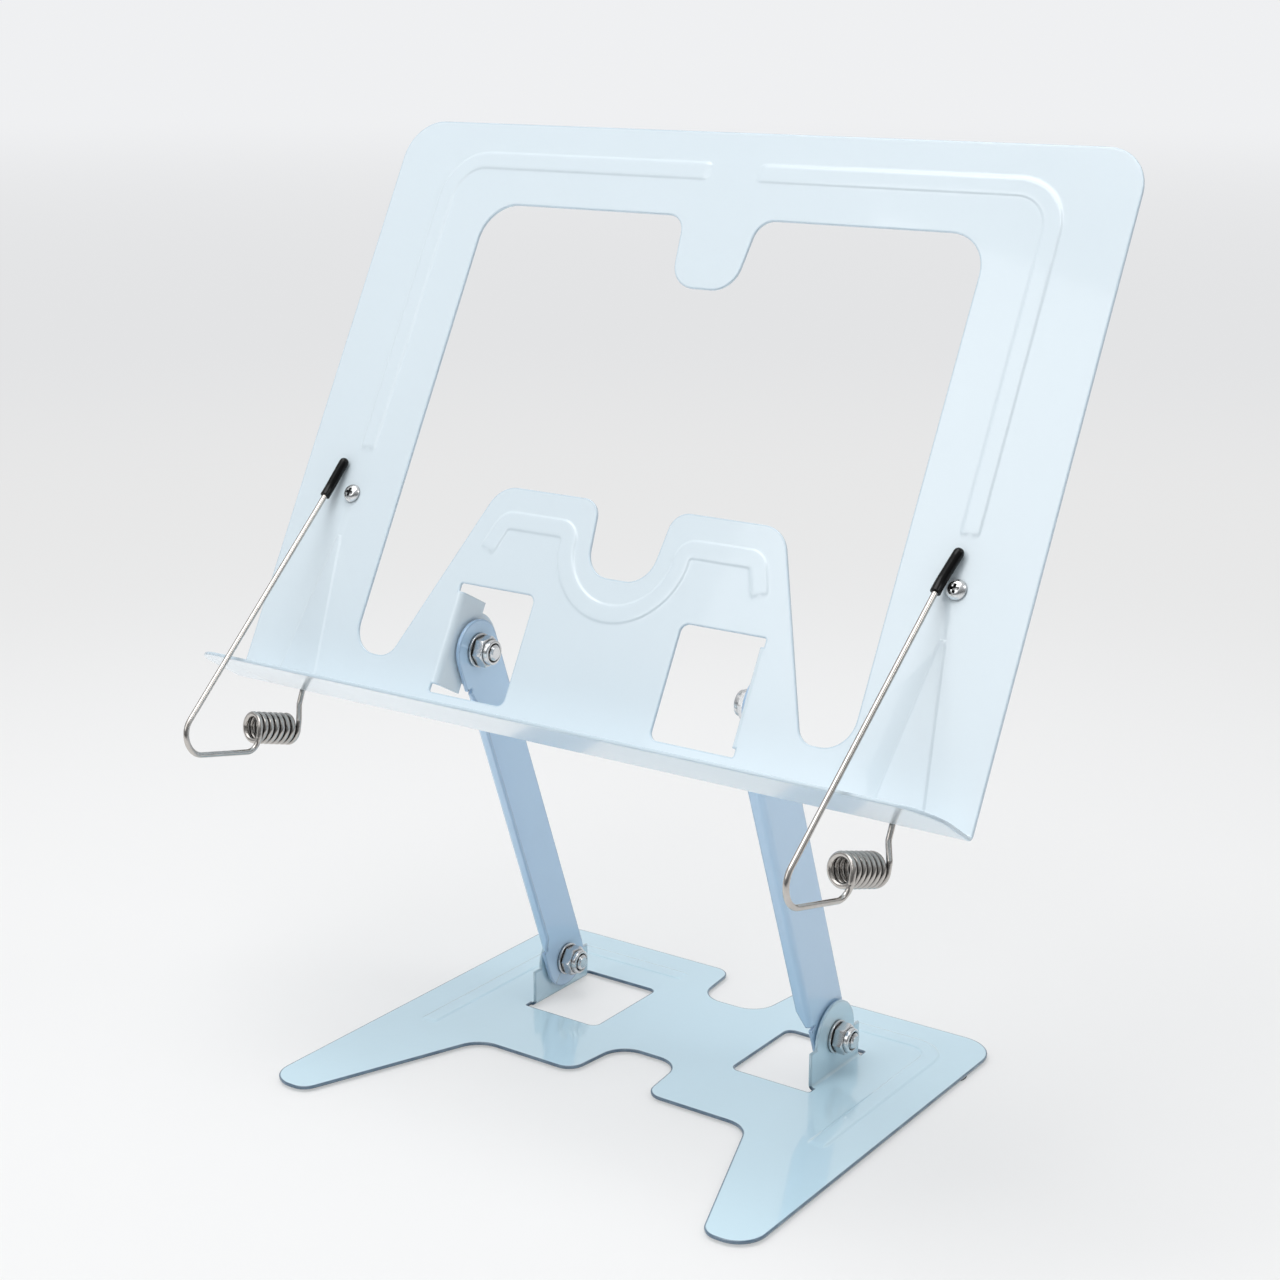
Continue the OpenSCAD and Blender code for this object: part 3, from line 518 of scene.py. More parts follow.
def inside_and_clear(points, loops, clear):
    """Which points lie in the sheet and at least a distance from its outlines."""
    pts = np.array([p[:2] for p in points])
    odd = np.zeros(len(pts), bool)
    near = np.full(len(pts), 1e9)
    for loop in loops:
        a = np.array([p[:2] for p in loop])
        b = np.roll(a, -1, axis=0)
        for (ax, ay), (bx, by) in zip(a, b):
            if ay != by:
                across = ax + (pts[:, 1] - ay) * (bx - ax) / (by - ay)
                odd ^= ((ay > pts[:, 1]) != (by > pts[:, 1])) & (pts[:, 0] < across)
            d = np.array([bx - ax, by - ay])
            t = np.clip(((pts - (ax, ay)) @ d) / max(d @ d, 1e-12), 0, 1)
            near = np.minimum(near, np.linalg.norm(pts - (ax, ay) - t[:, None] * d, axis=1))
    return odd & (near > clear)


def store(mesh, name, values):
    """Keeps a number for each point of a mesh."""
    mesh.attributes.new(name, "FLOAT", "POINT").data.foreach_set("value", values)


def edit(mesh, change, **options):
    """Changes a mesh with one of the mesh operators, and smooths its faces."""
    shape = bmesh.new()
    shape.from_mesh(mesh)
    change(shape, faces=shape.faces[:], **options)
    shape.to_mesh(mesh)
    shape.free()
    mesh.polygons.foreach_set("use_smooth", [True] * len(mesh.polygons))


CLEAR, CELL = 0.15, 0.2
FLATNESS = {"angle_face_threshold": 0.02, "angle_shape_threshold": 0.6}


def sheet_blank(name, outer, holes, thick, extra, radius=0.35):
    """Closed mesh of a flat sheet in millimetres, with its rims marked in an attribute."""
    loops = [turned_to(outer, True)] + [turned_to(h, False) for h in holes]
    rows = rim_rows(thick, radius)
    points, faces, rim = [], [], []
    inner_loops, flat, edges, front_index, back_index = [], [], [], [], []
    for loop in loops:
        start, n, last = len(points), len(loop), len(rows) - 1
        for number, (distance, height) in enumerate(rows):
            points += [(*p, height) for p in moved_in(loop, distance)]
            rim += [0.0 if number in (0, last) else 1.0] * n
        for j in range(last):
            for i in range(n):
                a, b = start + j * n + i, start + j * n + (i + 1) % n
                faces.append((a, a + n, b + n, b))
        inner_loops.append(moved_in(loop, rows[0][0]))
        edges += [(len(flat) + i, len(flat) + (i + 1) % n) for i in range(n)]
        flat += inner_loops[-1]
        front_index += range(start, start + n)
        back_index += range(start + last * n, start + last * n + n)
    cells = {}
    for p, good in zip(extra, inside_and_clear(extra, inner_loops, CLEAR)):
        if good:
            cells.setdefault((round(p.x / CELL), round(p.y / CELL)), p)
    spots, _, tris, origins, _, _ = geometry.delaunay_2d_cdt(
        flat + list(cells.values()), edges, [], 0, 1e-5)
    middles = [sum((spots[k] for k in t), Vector((0, 0))) / 3 for t in tris]
    front, rear = {}, {}
    for k, origin in enumerate(origins):
        known = [o for o in origin if o < len(front_index)]
        if known:
            front[k], rear[k] = front_index[known[0]], back_index[known[0]]
    for t, is_sheet in zip(tris, inside_and_clear(middles, inner_loops, 0)):
        if not is_sheet:
            continue
        a, b, c = (spots[k] for k in t)
        t = t if (b - a).cross(c - a) > 0 else t[::-1]
        for k in t:
            if k not in front:
                front[k], rear[k] = len(points), len(points) + 1
                points += [(*spots[k], thick / 2), (*spots[k], -thick / 2)]
                rim += [0.0, 0.0]
        faces += [[front[k] for k in t], [rear[k] for k in reversed(t)]]
    mesh = plain_mesh(name, [Vector(p) * MM for p in points], faces)
    store(mesh, "rim", rim)
    edit(mesh, bmesh.ops.join_triangles, **FLATNESS)
    print(name, "blank:", len(mesh.polygons), "faces")
    return new_piece(name, mesh)

# %% [markdown]
# ## Pressing and folding with Geometry Nodes
# Two rules shape every sheet part, so they are two trees. The first is the press: a tool of
# flat ribbons lies on the blank, and the sheet rises over it with a soft shoulder. The second
# is the folding machine: whatever lies past a line is wound round a radius up to an angle
# and then runs on straight. It makes the ledge, the ears and the flanges of the arms.

# %% The press tree
def geometry_tree(name, inputs):
    """A Geometry Nodes tree: a shape goes in with its values and material, and comes out."""
    return new_tree(name, "GeometryNodeTree", [
        ("Geometry", GEOMETRY, None), *inputs, ("Material", MATERIAL, None)],
        [("Geometry", GEOMETRY, None)])


def finish_tree(tree, result, shape, material):
    """Ends a tree in real geometry that carries its material."""
    real = add(tree, "GeometryNodeRealizeInstances", {0: shape})
    dressed = add(tree, "GeometryNodeSetMaterial", {0: real.outputs[0], "Material": material})
    feed(result, {"Geometry": dressed.outputs[0]})
    return tree


def press_tree():
    """Raises a flat sheet over a tool."""
    tree, given, result = geometry_tree("press_beads", [
        ("Tool", OBJECT, None), ("Depth", FLOAT, 0.0008), ("Shoulder", FLOAT, 0.002)])
    place = add(tree, "GeometryNodeInputPosition").outputs[0]
    spot = add(tree, "ShaderNodeSeparateXYZ", {0: place}).outputs
    flat = add(tree, "ShaderNodeCombineXYZ", {0: spot[0], 1: spot[1]}).outputs[0]
    tool = add(tree, "GeometryNodeObjectInfo", {"Object": given["Tool"]}).outputs["Geometry"]
    near = add(tree, "GeometryNodeProximity", {0: tool, "Sample Position": flat},
               target_element="FACES").outputs["Distance"]
    lift = remap(near, 0.0, given["Shoulder"], given["Depth"], 0.0, "SMOOTHSTEP")
    offset = add(tree, "ShaderNodeCombineXYZ", {2: lift}).outputs[0]
    shape = add(tree, "GeometryNodeSetPosition", {0: given["Geometry"], "Offset": offset})
    return finish_tree(tree, result, shape.outputs[0], given["Material"])

# %% The fold tree
def fold_tree():
    """Winds what lies past a line round a radius, up to an angle."""
    tree, given, result = geometry_tree("fold_sheet", [
        ("Past", VECTOR, (1, 0, 0)), ("Along", VECTOR, (0, 1, 0)), ("Line", FLOAT, 0.0),
        ("Radius", FLOAT, 0.0016), ("Angle", FLOAT, 1.57), ("Toward", FLOAT, 1.0),
        ("Middle", FLOAT, 0.0), ("Half Length", FLOAT, 1.0), ("Reach", FLOAT, 1.0)])

    def dot(a, b):
        return add(tree, "ShaderNodeVectorMath", {0: a, 1: b},
                   operation="DOT_PRODUCT").outputs["Value"]

    place = add(tree, "GeometryNodeInputPosition").outputs[0]
    height = add(tree, "ShaderNodeSeparateXYZ", {0: place}).outputs[2]
    past = maths("SUBTRACT", dot(place, given["Past"]), given["Line"])
    aside = maths("ABSOLUTE", maths("SUBTRACT", dot(place, given["Along"]), given["Middle"]))
    chosen = maths("MULTIPLY", maths("LESS_THAN", aside, given["Half Length"]),
                   maths("LESS_THAN", past, given["Reach"]))
    chosen = maths("MULTIPLY", chosen, maths("GREATER_THAN", past, 0.0))
    angle = maths("MINIMUM", maths("DIVIDE", past, given["Radius"]), given["Angle"])
    extra = maths("SUBTRACT", past, maths("MULTIPLY", given["Radius"], angle))
    radius = maths("SUBTRACT", given["Radius"], maths("MULTIPLY", given["Toward"], height))
    sine, cosine = maths("SINE", angle), maths("COSINE", angle)
    along = maths("MULTIPLY_ADD", radius, sine, maths("MULTIPLY", extra, cosine))
    rise = maths("SUBTRACT", given["Radius"], maths("MULTIPLY", radius, cosine))
    rise = maths("MULTIPLY", maths("MULTIPLY_ADD", extra, sine, rise), given["Toward"])
    sideways = maths("SUBTRACT", along, past)
    shift = add(tree, "ShaderNodeVectorMath", {0: given["Past"], "Scale": sideways},
                operation="SCALE").outputs[0]
    lift = add(tree, "ShaderNodeCombineXYZ", {2: maths("SUBTRACT", rise, height)}).outputs[0]
    offset = add(tree, "ShaderNodeVectorMath", {0: shift, 1: lift}, operation="ADD").outputs[0]
    shape = add(tree, "GeometryNodeSetPosition",
                {0: given["Geometry"], "Selection": chosen, "Offset": offset})
    return finish_tree(tree, result, shape.outputs[0], given["Material"])


PRESS, FOLD = press_tree(), fold_tree()

# %% Running a tree
def bake(piece):
    """Replaces a piece's mesh by what its modifiers make of it."""
    piece.update_tag()
    bpy.context.view_layer.update()
    graph = bpy.context.evaluated_depsgraph_get()
    mesh = bpy.data.meshes.new_from_object(piece.evaluated_get(graph), depsgraph=graph)
    piece.modifiers.clear()
    piece.data = mesh


def run_tree(piece, tree, values):
    """Runs a tree on a piece for good."""
    modifier = piece.modifiers.new(tree.name, "NODES")
    modifier.node_group = tree
    for item in tree.interface.items_tree:
        if item.in_out == "INPUT" and item.name in values:
            modifier[item.identifier] = values[item.name]
    bake(piece)


def with_sides(path):
    """Each point of a flat path with the direction across it."""
    for i, p in enumerate(path):
        ahead, behind = path[min(i + 1, len(path) - 1)], path[max(i - 1, 0)]
        along = (ahead - behind).normalized()
        yield p, Vector((-along.y, along.x))


PRESS_STEP = 1.3
one_side = [0.0, TOOL_HALF * 0.6, TOOL_HALF,
            *[TOOL_HALF + SHOULDER * k / 5 for k in range(1, 6)], TOOL_HALF + SHOULDER + 0.7]
PRESS_OFFSETS = sorted({-d for d in one_side} | set(one_side))


def press(piece, name, paths, material, plates):
    """Raises a sheet over a tool: flat ribbons along paths, and flat plates."""
    points, faces = [], []
    for path in paths:
        start = len(points)
        for p, side in with_sides(spaced(path, PRESS_STEP)):
            side = side * TOOL_HALF
            points += [(p + side).to_3d() * MM, (p - side).to_3d() * MM]
        faces += [(k, k + 1, k + 3, k + 2) for k in range(start, len(points) - 2, 2)]
    for plate in plates:
        faces.append(tuple(range(len(points), len(points) + len(plate))))
        points += [Vector(p).to_3d() * MM for p in plate]
    tool = new_piece(name, plain_mesh(name, points, faces))
    tool.hide_render = True
    run_tree(piece, PRESS, {"Tool": tool, "Depth": BEAD_H * MM, "Shoulder": SHOULDER * MM,
                            "Material": material})
    bpy.data.objects.remove(tool)


def fold(piece, past, along, line, radius, angle, toward, material, middle=0.0,
         half_length=1000.0, reach=1000.0):
    """Folds what lies past a line of a sheet, and within some limits, in millimetres."""
    run_tree(piece, FOLD, {
        "Past": past, "Along": along, "Line": line * MM, "Radius": radius * MM,
        "Angle": angle, "Toward": toward, "Middle": middle * MM,
        "Half Length": half_length * MM, "Reach": reach * MM, "Material": material})


def beside(paths, offsets, step=PRESS_STEP):
    """Points along and beside paths, where the sheet needs detail."""
    made = []
    for path in paths:
        path = spaced(path, step)
        made += [p + side * d for p, side in with_sides(path) for d in offsets]
        for end, other in ((path[0], path[1]), (path[-1], path[-2])):
            out = (end - other).normalized()
            side = Vector((-out.y, out.x))
            made += [end + (out * sin(a) + side * cos(a)) * d for d in offsets
                     if d > 0 for a in np.linspace(0.25, pi - 0.25, 7)]
    return made


def dress(piece, body, slot_name, *nodes):
    """Hangs a piece on its body's empty and hides the CAD parts that it takes the place of;
    slot_name is not used.
    """
    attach(piece, body)
    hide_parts(*nodes)
    print(piece.name, len(piece.data.polygons), "faces")

# %% [markdown]
# ## Ears
# Each ear is a tab that is cut inside a square window and bent up. Its outline is unrolled
# here: the bend takes a quarter turn at the middle of the sheet.

# %% Flat outline of an ear in its window
BEND_LENGTH = MID_R * pi / 2
EDGE = EAR_OUT + BEND_R
EAR_FOOT, EAR_EDGE_SHADE, BEND_STEPS = 1.2, 0.3, 8


def ear_flat(height):
    """Flat distance from the centre line of a point at a height on the finished ear."""
    return EDGE - BEND_LENGTH - (height - BEND_R)


def ear_window(side, middle):
    """The window with its ear still flat inside it, and the ear's bolt hole."""
    inner = EAR_IN - CUT_W
    shoulder, centre = ear_flat(EAR_SHOULDER), ear_flat(PIVOT_OFF)
    half = [(EDGE, EAR_HALF, 0.5), (EDGE, CUT_HALF, 0.8), (inner, CUT_HALF, CUT_R)]
    window = rounded(half + [(x, -y, r) for x, y, r in reversed(half)])
    start = asin((centre - shoulder) / EAR_BOSS)
    boss = [Vector((centre - EAR_BOSS * sin(a), EAR_BOSS * cos(a)))
            for a in np.linspace(start, pi - start, 37)]
    tab = [Vector((shoulder, -EAR_HALF))] + boss[::-1] + [Vector((shoulder, EAR_HALF))]
    loop = window + tab
    hole = circle(centre, 0, BOLT_HOLE)
    return [[Vector((side * p.x, middle + p.y)) for p in shape] for shape in (loop, hole)]


def bend_lines(start, length):
    """Places across a bend, towards lower values, at which the sheet gets points."""
    return [start - length * k / BEND_STEPS for k in range(-1, BEND_STEPS + 2)]


EAR_LINES = [(0, s * v) for s in (-1, 1) for v in bend_lines(EDGE, BEND_LENGTH)]


def eared_sheet(name, outline, windows, holes, details, beads, plates, middle, toward,
                material):
    """A sheet that is pressed and has both ears bent; their own edges keep less of the painted
    edge shade.
    """
    ears = [ear_window(side, middle) for side in (-1, 1)]
    holes = (windows + [crossings(loop, EAR_LINES) for loop, _ in ears]
             + [hole for _, hole in ears] + holes)
    across_bends = [Vector((x, middle + y)) for _, x in EAR_LINES
                    for y in np.arange(-EAR_HALF + 1.5, EAR_HALF - 1, 1.6)]
    points = beside(beads, PRESS_OFFSETS) + across_bends + details
    sheet = sheet_blank(f"{name}_sheet", outline, holes, SHEET, points)
    press(sheet, f"{name}_tool", beads, material, plates)
    for side in (-1, 1):
        fold(sheet, (-side, 0, 0), (0, 1, 0), -EDGE, MID_R, pi / 2, toward, material, middle,
             EAR_HALF + 0.6, CUT_W)
    # Edges that stand up from the sheet, away from the floor, get less of the painted edge
    # shade.
    rim = sheet.data.attributes["rim"].data
    for vertex in sheet.data.vertices:
        if abs(vertex.co.z) > EAR_FOOT * MM:
            rim[vertex.index].value *= EAR_EDGE_SHADE
    return sheet

# %% [markdown]
# ## The base
# The base is the very piece that was punched out of the panel's window: its rear notch fits
# the panel's tongue, and its two toes are what lay in the window's legs. A raised bead
# follows its sides and the rear corners.

# %% Base plate
WINDOW_HALF, GAP = 102.5, 0.5
NOTCH_D, NOTCH_LOW, NOTCH_MOUTH, NOTCH_R, MOUTH_R = 26.5, 12.6, 15.5, 10.0, 7.0
LEG_W, ISLAND_HALF, ISLAND_R, BASE_FRONT, BASE_LEN = 17.5, 58.5, 11.0, 107.0, 174.5
CORNER_R, TOP_R, TOE_R, TOE_IN_R = 14.0, 15.0, 10.5, 7.0
BEAD_SIDE, BEAD_REAR, BEAD_STOP, BEAD_BEND = 17.5, 15.5, 3, 14


def window_shape(gap, top, low, island, notch):
    """Outline of the panel's window, or of the base that was punched out of it."""
    half = WINDOW_HALF - gap
    return rounded(both_sides([
        (NOTCH_LOW + gap, top - NOTCH_D, NOTCH_R), (NOTCH_MOUTH + gap, top, MOUTH_R),
        (half, top, CORNER_R), (half, low, TOE_R), (half - LEG_W, low, TOE_IN_R),
        (ISLAND_HALF, island, ISLAND_R), (NOTCH_MOUTH + gap, island, MOUTH_R),
        (NOTCH_LOW + gap, notch, NOTCH_R)]))


base_outline = window_shape(GAP, 0, -BASE_LEN, -BASE_FRONT, NOTCH_D - BASE_FRONT)
bead_x = WINDOW_HALF - BEAD_SIDE
right_bead = open_path([(NOTCH_MOUTH + MOUTH_R + BEAD_W, -BEAD_REAR), (bead_x, -BEAD_REAR),
                        (bead_x, BEAD_STOP - BASE_FRONT)], [BEAD_BEND - BEAD_W / 2])
base_beads = [right_bead, mirrored(right_bead)]
base = eared_sheet("base", base_outline, [], [], [], base_beads, [], -BASE_PIVOT_Y, 1.0,
                   SHADED_BASE_PAINT)
base.data.transform(Matrix.Translation(Vector((0, MIDDLE_Y, BASE_Z + SHEET / 2)) * MM))
dress(base, "base", "base_paint", "base_plate")

# %% [markdown]
# ## The panel and its ledge
# The panel is cut with the large window, pressed with the frame bead, the island's bead and
# the two tapered reliefs, and then folded three times: both ears backwards and the ledge
# forwards. The ledge's corners are rounded in the flat, like the top corners.

# %% Panel outlines
WINDOW_TOP, LEG_LOW, ISLAND_TOP, FRAME_X, FRAME_U = 192.0, 18.5, 86.5, 123.4, 209.0
ledge_flat = LEDGE_D - BEND_OUT + MID_R * LEDGE_FOLD
panel_outline = rounded([
    (-PANEL_W / 2, BEND_OUT - ledge_flat, CORNER_R),
    (PANEL_W / 2, BEND_OUT - ledge_flat, CORNER_R),
    (PANEL_W / 2, PANEL_H, TOP_R), (-PANEL_W / 2, PANEL_H, TOP_R)])
window = window_shape(0, WINDOW_TOP, LEG_LOW, ISLAND_TOP, ISLAND_TOP - NOTCH_D)

FRAME_START, FRAME_STOP, FRAME_BEND = 11.4, 93.5, 15.0
frame_bead = open_path([(FRAME_START, FRAME_U), (FRAME_X, FRAME_U), (FRAME_X, FRAME_STOP)],
                       [FRAME_BEND])
ISLAND_FOOT, ISLAND_KNEE, TURN_SOFT = (56, 63.5), (52, 74.5), radians(16)
ARC_DROP, ARC_OUT, TURN_DROP = 15, 11, 12
centre, reach = Vector((0, ISLAND_TOP - ARC_DROP)), NOTCH_LOW + ARC_OUT
rise = asin((ISLAND_TOP - TURN_DROP - centre.y) / reach)
island_arc = [centre + reach * Vector((cos(a), sin(a)))
              for a in np.linspace(rise - TURN_SOFT, -pi - rise + TURN_SOFT, 45)]
turn_in = centre + reach * Vector((cos(rise), sin(rise)))
island_end = open_path([ISLAND_FOOT, ISLAND_KNEE, turn_in, island_arc[0]], [4.7, 4.5])[:-1]
island_bead = island_end + island_arc + mirrored(reversed(island_end))
panel_beads = [frame_bead, mirrored(frame_bead), island_bead]
FAN_HALF, FAN_LOW, FAN_TOP, FAN_TIP = 8.4, 3.4, 58.5, 0.3
fan = [(-FAN_HALF, FAN_LOW), (FAN_HALF, FAN_LOW), (FAN_TIP, FAN_TOP), (-FAN_TIP, FAN_TOP)]
fans = [[(side * SCREW_X + x, u) for x, u in fan] for side in (-1, 1)]

# %% Panel sheet
LEDGE_LINES = [(1, v) for v in bend_lines(BEND_OUT, MID_R * LEDGE_FOLD)]
screw_holes = [circle(side * SCREW_X, SCREW_U, SCREW_HOLE) for side in (-1, 1)]
panel_points = [Vector((x, v)) for _, v in LEDGE_LINES for x in np.arange(-149, 149.1, 2.5)]
fan_offsets = [0.0, *[s * SHOULDER * k / 4 for s in (-1, 1) for k in range(1, 5)], 2.8]
for shape in fans:
    panel_points += beside([[Vector(p) for p in shape + shape[:1]]], fan_offsets, 1.5)
panel = eared_sheet("panel", crossings(panel_outline, LEDGE_LINES), [window], screw_holes,
                    panel_points, panel_beads, fans, PIVOT_U, -1.0, PANEL_PAINT)
fold(panel, (0, -1, 0), (1, 0, 0), -BEND_OUT, MID_R, LEDGE_FOLD, 1.0, PANEL_PAINT)
panel.data.transform(TO_METRES @ panel_turn @ TO_METRES.inverted()
                     @ Matrix.Translation((0, 0, -SHEET / 2 * MM)))
dress(panel, "panel", "panel_paint", "back_panel")

# %% [markdown]
# ## The arms
# An arm is a flat bar with round ends and one folded flange that stiffens its front edge.
# The flange stops short of both pivots, where a small relief keeps the fold from tearing.
# Left and right are the same blank, folded to opposite sides.

# %% Arms
def arm_blank(name):
    """Flat arm: x across it, y from the lower pivot to the upper one."""
    half, relief, relief_end, relief_r = ARM_W / 2, 0.9, 6, 0.44
    line = -(half - BEND_R - ARM_T)
    mid = BEND_R + ARM_T / 2
    root = line - mid * pi / 2
    free = root - (FLANGE_D - BEND_R)
    low, high = FLANGE_SHORT, ARM_LEN - FLANGE_SHORT
    top, bottom = arc(0, ARM_LEN, half, 0, pi, 31), arc(0, 0, half, pi, tau, 31)
    upper = [(-half, high + relief + relief_end, 0), (-half, high + relief, 0.4),
             (line, high + relief, relief_r), (line, high, relief_r), (root, high, 0.5),
             (free, high - 2 * FLANGE_D, 3.0)]
    side = rounded(upper + [(x, low + high - y, r) for x, y, r in reversed(upper)])
    lines = [(0, v) for v in bend_lines(line, mid * pi / 2)]
    outline = crossings(top + side + bottom, lines)
    grid = [Vector((x, y)) for _, x in lines for y in np.arange(low + 1.5, high - 1, 2.0)]
    holes = [circle(0, 0, BOLT_HOLE), circle(0, ARM_LEN, BOLT_HOLE)]
    return sheet_blank(name, outline, holes, ARM_T, grid, 0.4), line, mid


for side, label in ((-1, "left"), (1, "right")):
    arm, line, mid = arm_blank(f"{label}_arm_sheet")
    fold(arm, (-1, 0, 0), (0, 1, 0), -line, mid, pi / 2, float(-side), SHADED_ARM_PAINT,
         ARM_LEN / 2, ARM_LEN / 2 - FLANGE_SHORT + 0.3)
    stand_up = Matrix(((0, 0, 1, side * (ARM_IN + ARM_T / 2) * MM), (1, 0, 0, 0),
                       (0, 1, 0, 0), (0, 0, 0, 1)))
    lean = Matrix.Rotation(ARM_LEAN, 4, "X")
    arm.data.transform(Matrix.Translation(BASE_PIVOT * MM) @ lean @ stand_up)
    dress(arm, f"{label}_arm_body", "arm_paint", f"{label}_arm")

# %% [markdown]
# ## Turned parts
# Bolts, nuts and washers are turned about an axis. `turned` takes rows of a place along the
# axis and a radius, which may depend on the angle. That makes the hexagon of a nut, with its
# corners cut by a cone, and a bolt's thread, a ridge that moves on by a pitch in each turn.

# %% Turned shapes
TURNED_SHARP = radians(38)


def turned(name, rows, sides, ring=False):
    """Mesh turned about X from rows (place, radius or rule); a ring closes on itself."""
    points, faces = [], []
    for x, radius in rows:
        for k in range(sides):
            a = tau * k / sides
            r = radius(x, a) if callable(radius) else radius
            points.append(Vector((x, r * cos(a), r * sin(a))) * MM)
    last = len(rows) if ring else len(rows) - 1
    for j in range(last):
        for k in range(sides):
            a, b = j * sides + k, j * sides + (k + 1) % sides
            step = ((j + 1) % len(rows) - j) * sides
            faces.append((a, b, b + step, a + step))
    if not ring:
        faces.append(tuple(range(sides - 1, -1, -1)))
        faces.append(tuple(range(len(points) - sides, len(points))))
    mesh = plain_mesh(name, points, faces)
    edit(mesh, bmesh.ops.recalc_face_normals)
    mesh.set_sharp_from_angle(angle=TURNED_SHARP)
    return new_piece(name, mesh)


def soft_corner(x, r, size, inward_x, inward_r, steps=3):
    """Rows that round a corner at (x, r); the inward signs point into the material."""
    turns = [pi / 2 * k / steps for k in range(steps + 1)]
    return [(x + inward_x * size * (1 - cos(a)), r + inward_r * size * (1 - sin(a)))
            for a in turns]


def washer(name, outer, hole, thick, size=0.2):
    """Flat ring from x = 0 to its thickness, with round edges."""
    return turned(name, (soft_corner(0, outer / 2, size, 1, -1)
                         + soft_corner(thick, outer / 2, size, -1, -1)[::-1]
                         + soft_corner(thick, hole / 2, size / 2, -1, 1)
                         + soft_corner(0, hole / 2, size / 2, 1, 1)[::-1]), 64, ring=True)


def thread_rule(radius, pitch, depth):
    """Radius of a screw thread at a place and an angle."""
    def rule(x, a):
        share = (x / pitch - a / tau) % 1
        return radius - depth * abs(2 * share - 1)
    return rule


def hexagon_rule(flats, x0, x1, cut):
    """Radius of a hexagon whose corners are cut by a cone at both ends."""
    def rule(x, a):
        flat = flats / 2 / cos((a + pi / 6) % (pi / 3) - pi / 6)
        return min(flat, flats / 2 - cut + min(x - x0, x1 - x) * 1.9)
    return rule

# %% Bolt, nut and screw
THREAD_DEPTH, RECESS_WIDE, RECESS_DEEP, DOME = 0.45, 0.56, 0.6, 0.75


def dome_rows(diameter, height):
    """Rows of a domed head whose underside is at x = 0 and whose top points to -X."""
    half = diameter / 2
    rows = [(-height * (1 - DOME * share ** 4), half * share)
            for share in (0.01, 0.2, 0.35, 0.5, 0.6, 0.7, 0.78, 0.85, 0.91, 0.96, 0.985)]
    return rows + soft_corner(0, half, 0.15, -1, -1)[::-1]


def cross_cutter(size, depth, top):
    """Tapered cross that sinks the recess of a head; it narrows inwards."""
    shape = bmesh.new()
    mouth, bottom = (1.05, 0.32), (0.55, 0.2)
    for turn in (0, pi / 2):
        block = bmesh.ops.create_cube(shape, size=1)["verts"]
        for v in block:
            wide, thin = bottom if v.co.x > 0 else mouth
            v.co = Vector((depth if v.co.x > 0 else -1, v.co.y * size * wide,
                           v.co.z * size * thin))
        bmesh.ops.rotate(shape, verts=block, cent=(0, 0, 0),
                         matrix=Matrix.Rotation(turn, 3, "X"))
    bmesh.ops.translate(shape, verts=shape.verts, vec=(top, 0, 0))
    bmesh.ops.scale(shape, verts=shape.verts, vec=(MM, MM, MM))
    mesh = bpy.data.meshes.new("cutter")
    shape.to_mesh(mesh)
    shape.free()
    return new_piece("cutter", mesh)


def cut(piece, cutter):
    """Cuts a shape out of a piece for good."""
    modifier = piece.modifiers.new("cut", "BOOLEAN")
    modifier.object, modifier.solver, modifier.use_self = cutter, "EXACT", True
    bake(piece)
    piece.data.set_sharp_from_angle(angle=TURNED_SHARP)
    bpy.data.objects.remove(cutter)


def bolt(name, head_d, head_h, shank_d, length, plain, pitch):
    """Domed cross-head screw along +X with a rolled thread beyond its plain part."""
    depth = pitch * THREAD_DEPTH
    thread = thread_rule(shank_d / 2, pitch, depth)
    rows = dome_rows(head_d, head_h) + [(0, shank_d / 2), (plain, shank_d / 2)]
    rows += [(x, thread) for x in np.arange(plain + 0.1, length - 0.6, pitch / 8)]
    rows += [(length - 0.5, shank_d / 2 - depth), (length, shank_d / 2 - depth - 0.5)]
    piece = turned(name, rows, 48)
    cut(piece, cross_cutter(head_d * RECESS_WIDE, head_h * RECESS_DEEP, -head_h))
    return piece


def nut(name, flats, height, collar, hole):
    """Nut from x = 0, with a round collar above its hexagon where it is a lock nut."""
    rule = hexagon_rule(flats, 0, height, 0.25)
    rows = [(height * k / 12 if 0 < k < 12 else (0.001, height - 0.001)[k > 0], rule)
            for k in (0, 0.4, 0.8, 1.3, 2, 6, 10, 10.7, 11.2, 11.6, 12)]
    top = height + collar
    if collar:
        rows += [(height, flats / 2 - 0.5)]
        rows += soft_corner(top, flats / 2 - 0.5, 0.6, -1, -1)[::-1]
    rows += [(top, hole / 2 + 0.5), (top - 0.5, hole / 2), (0.5, hole / 2), (0, hole / 2 + 0.5)]
    return turned(name, rows, 72, ring=True)

# %% [markdown]
# ## Setting the fasteners
# Screws repeat, so each is made once and then set on points by Geometry Nodes. Nobody lines
# nuts up when tightening them, so each copy gets its own turn from a fixed seed. The copies
# on one body become one plain mesh.

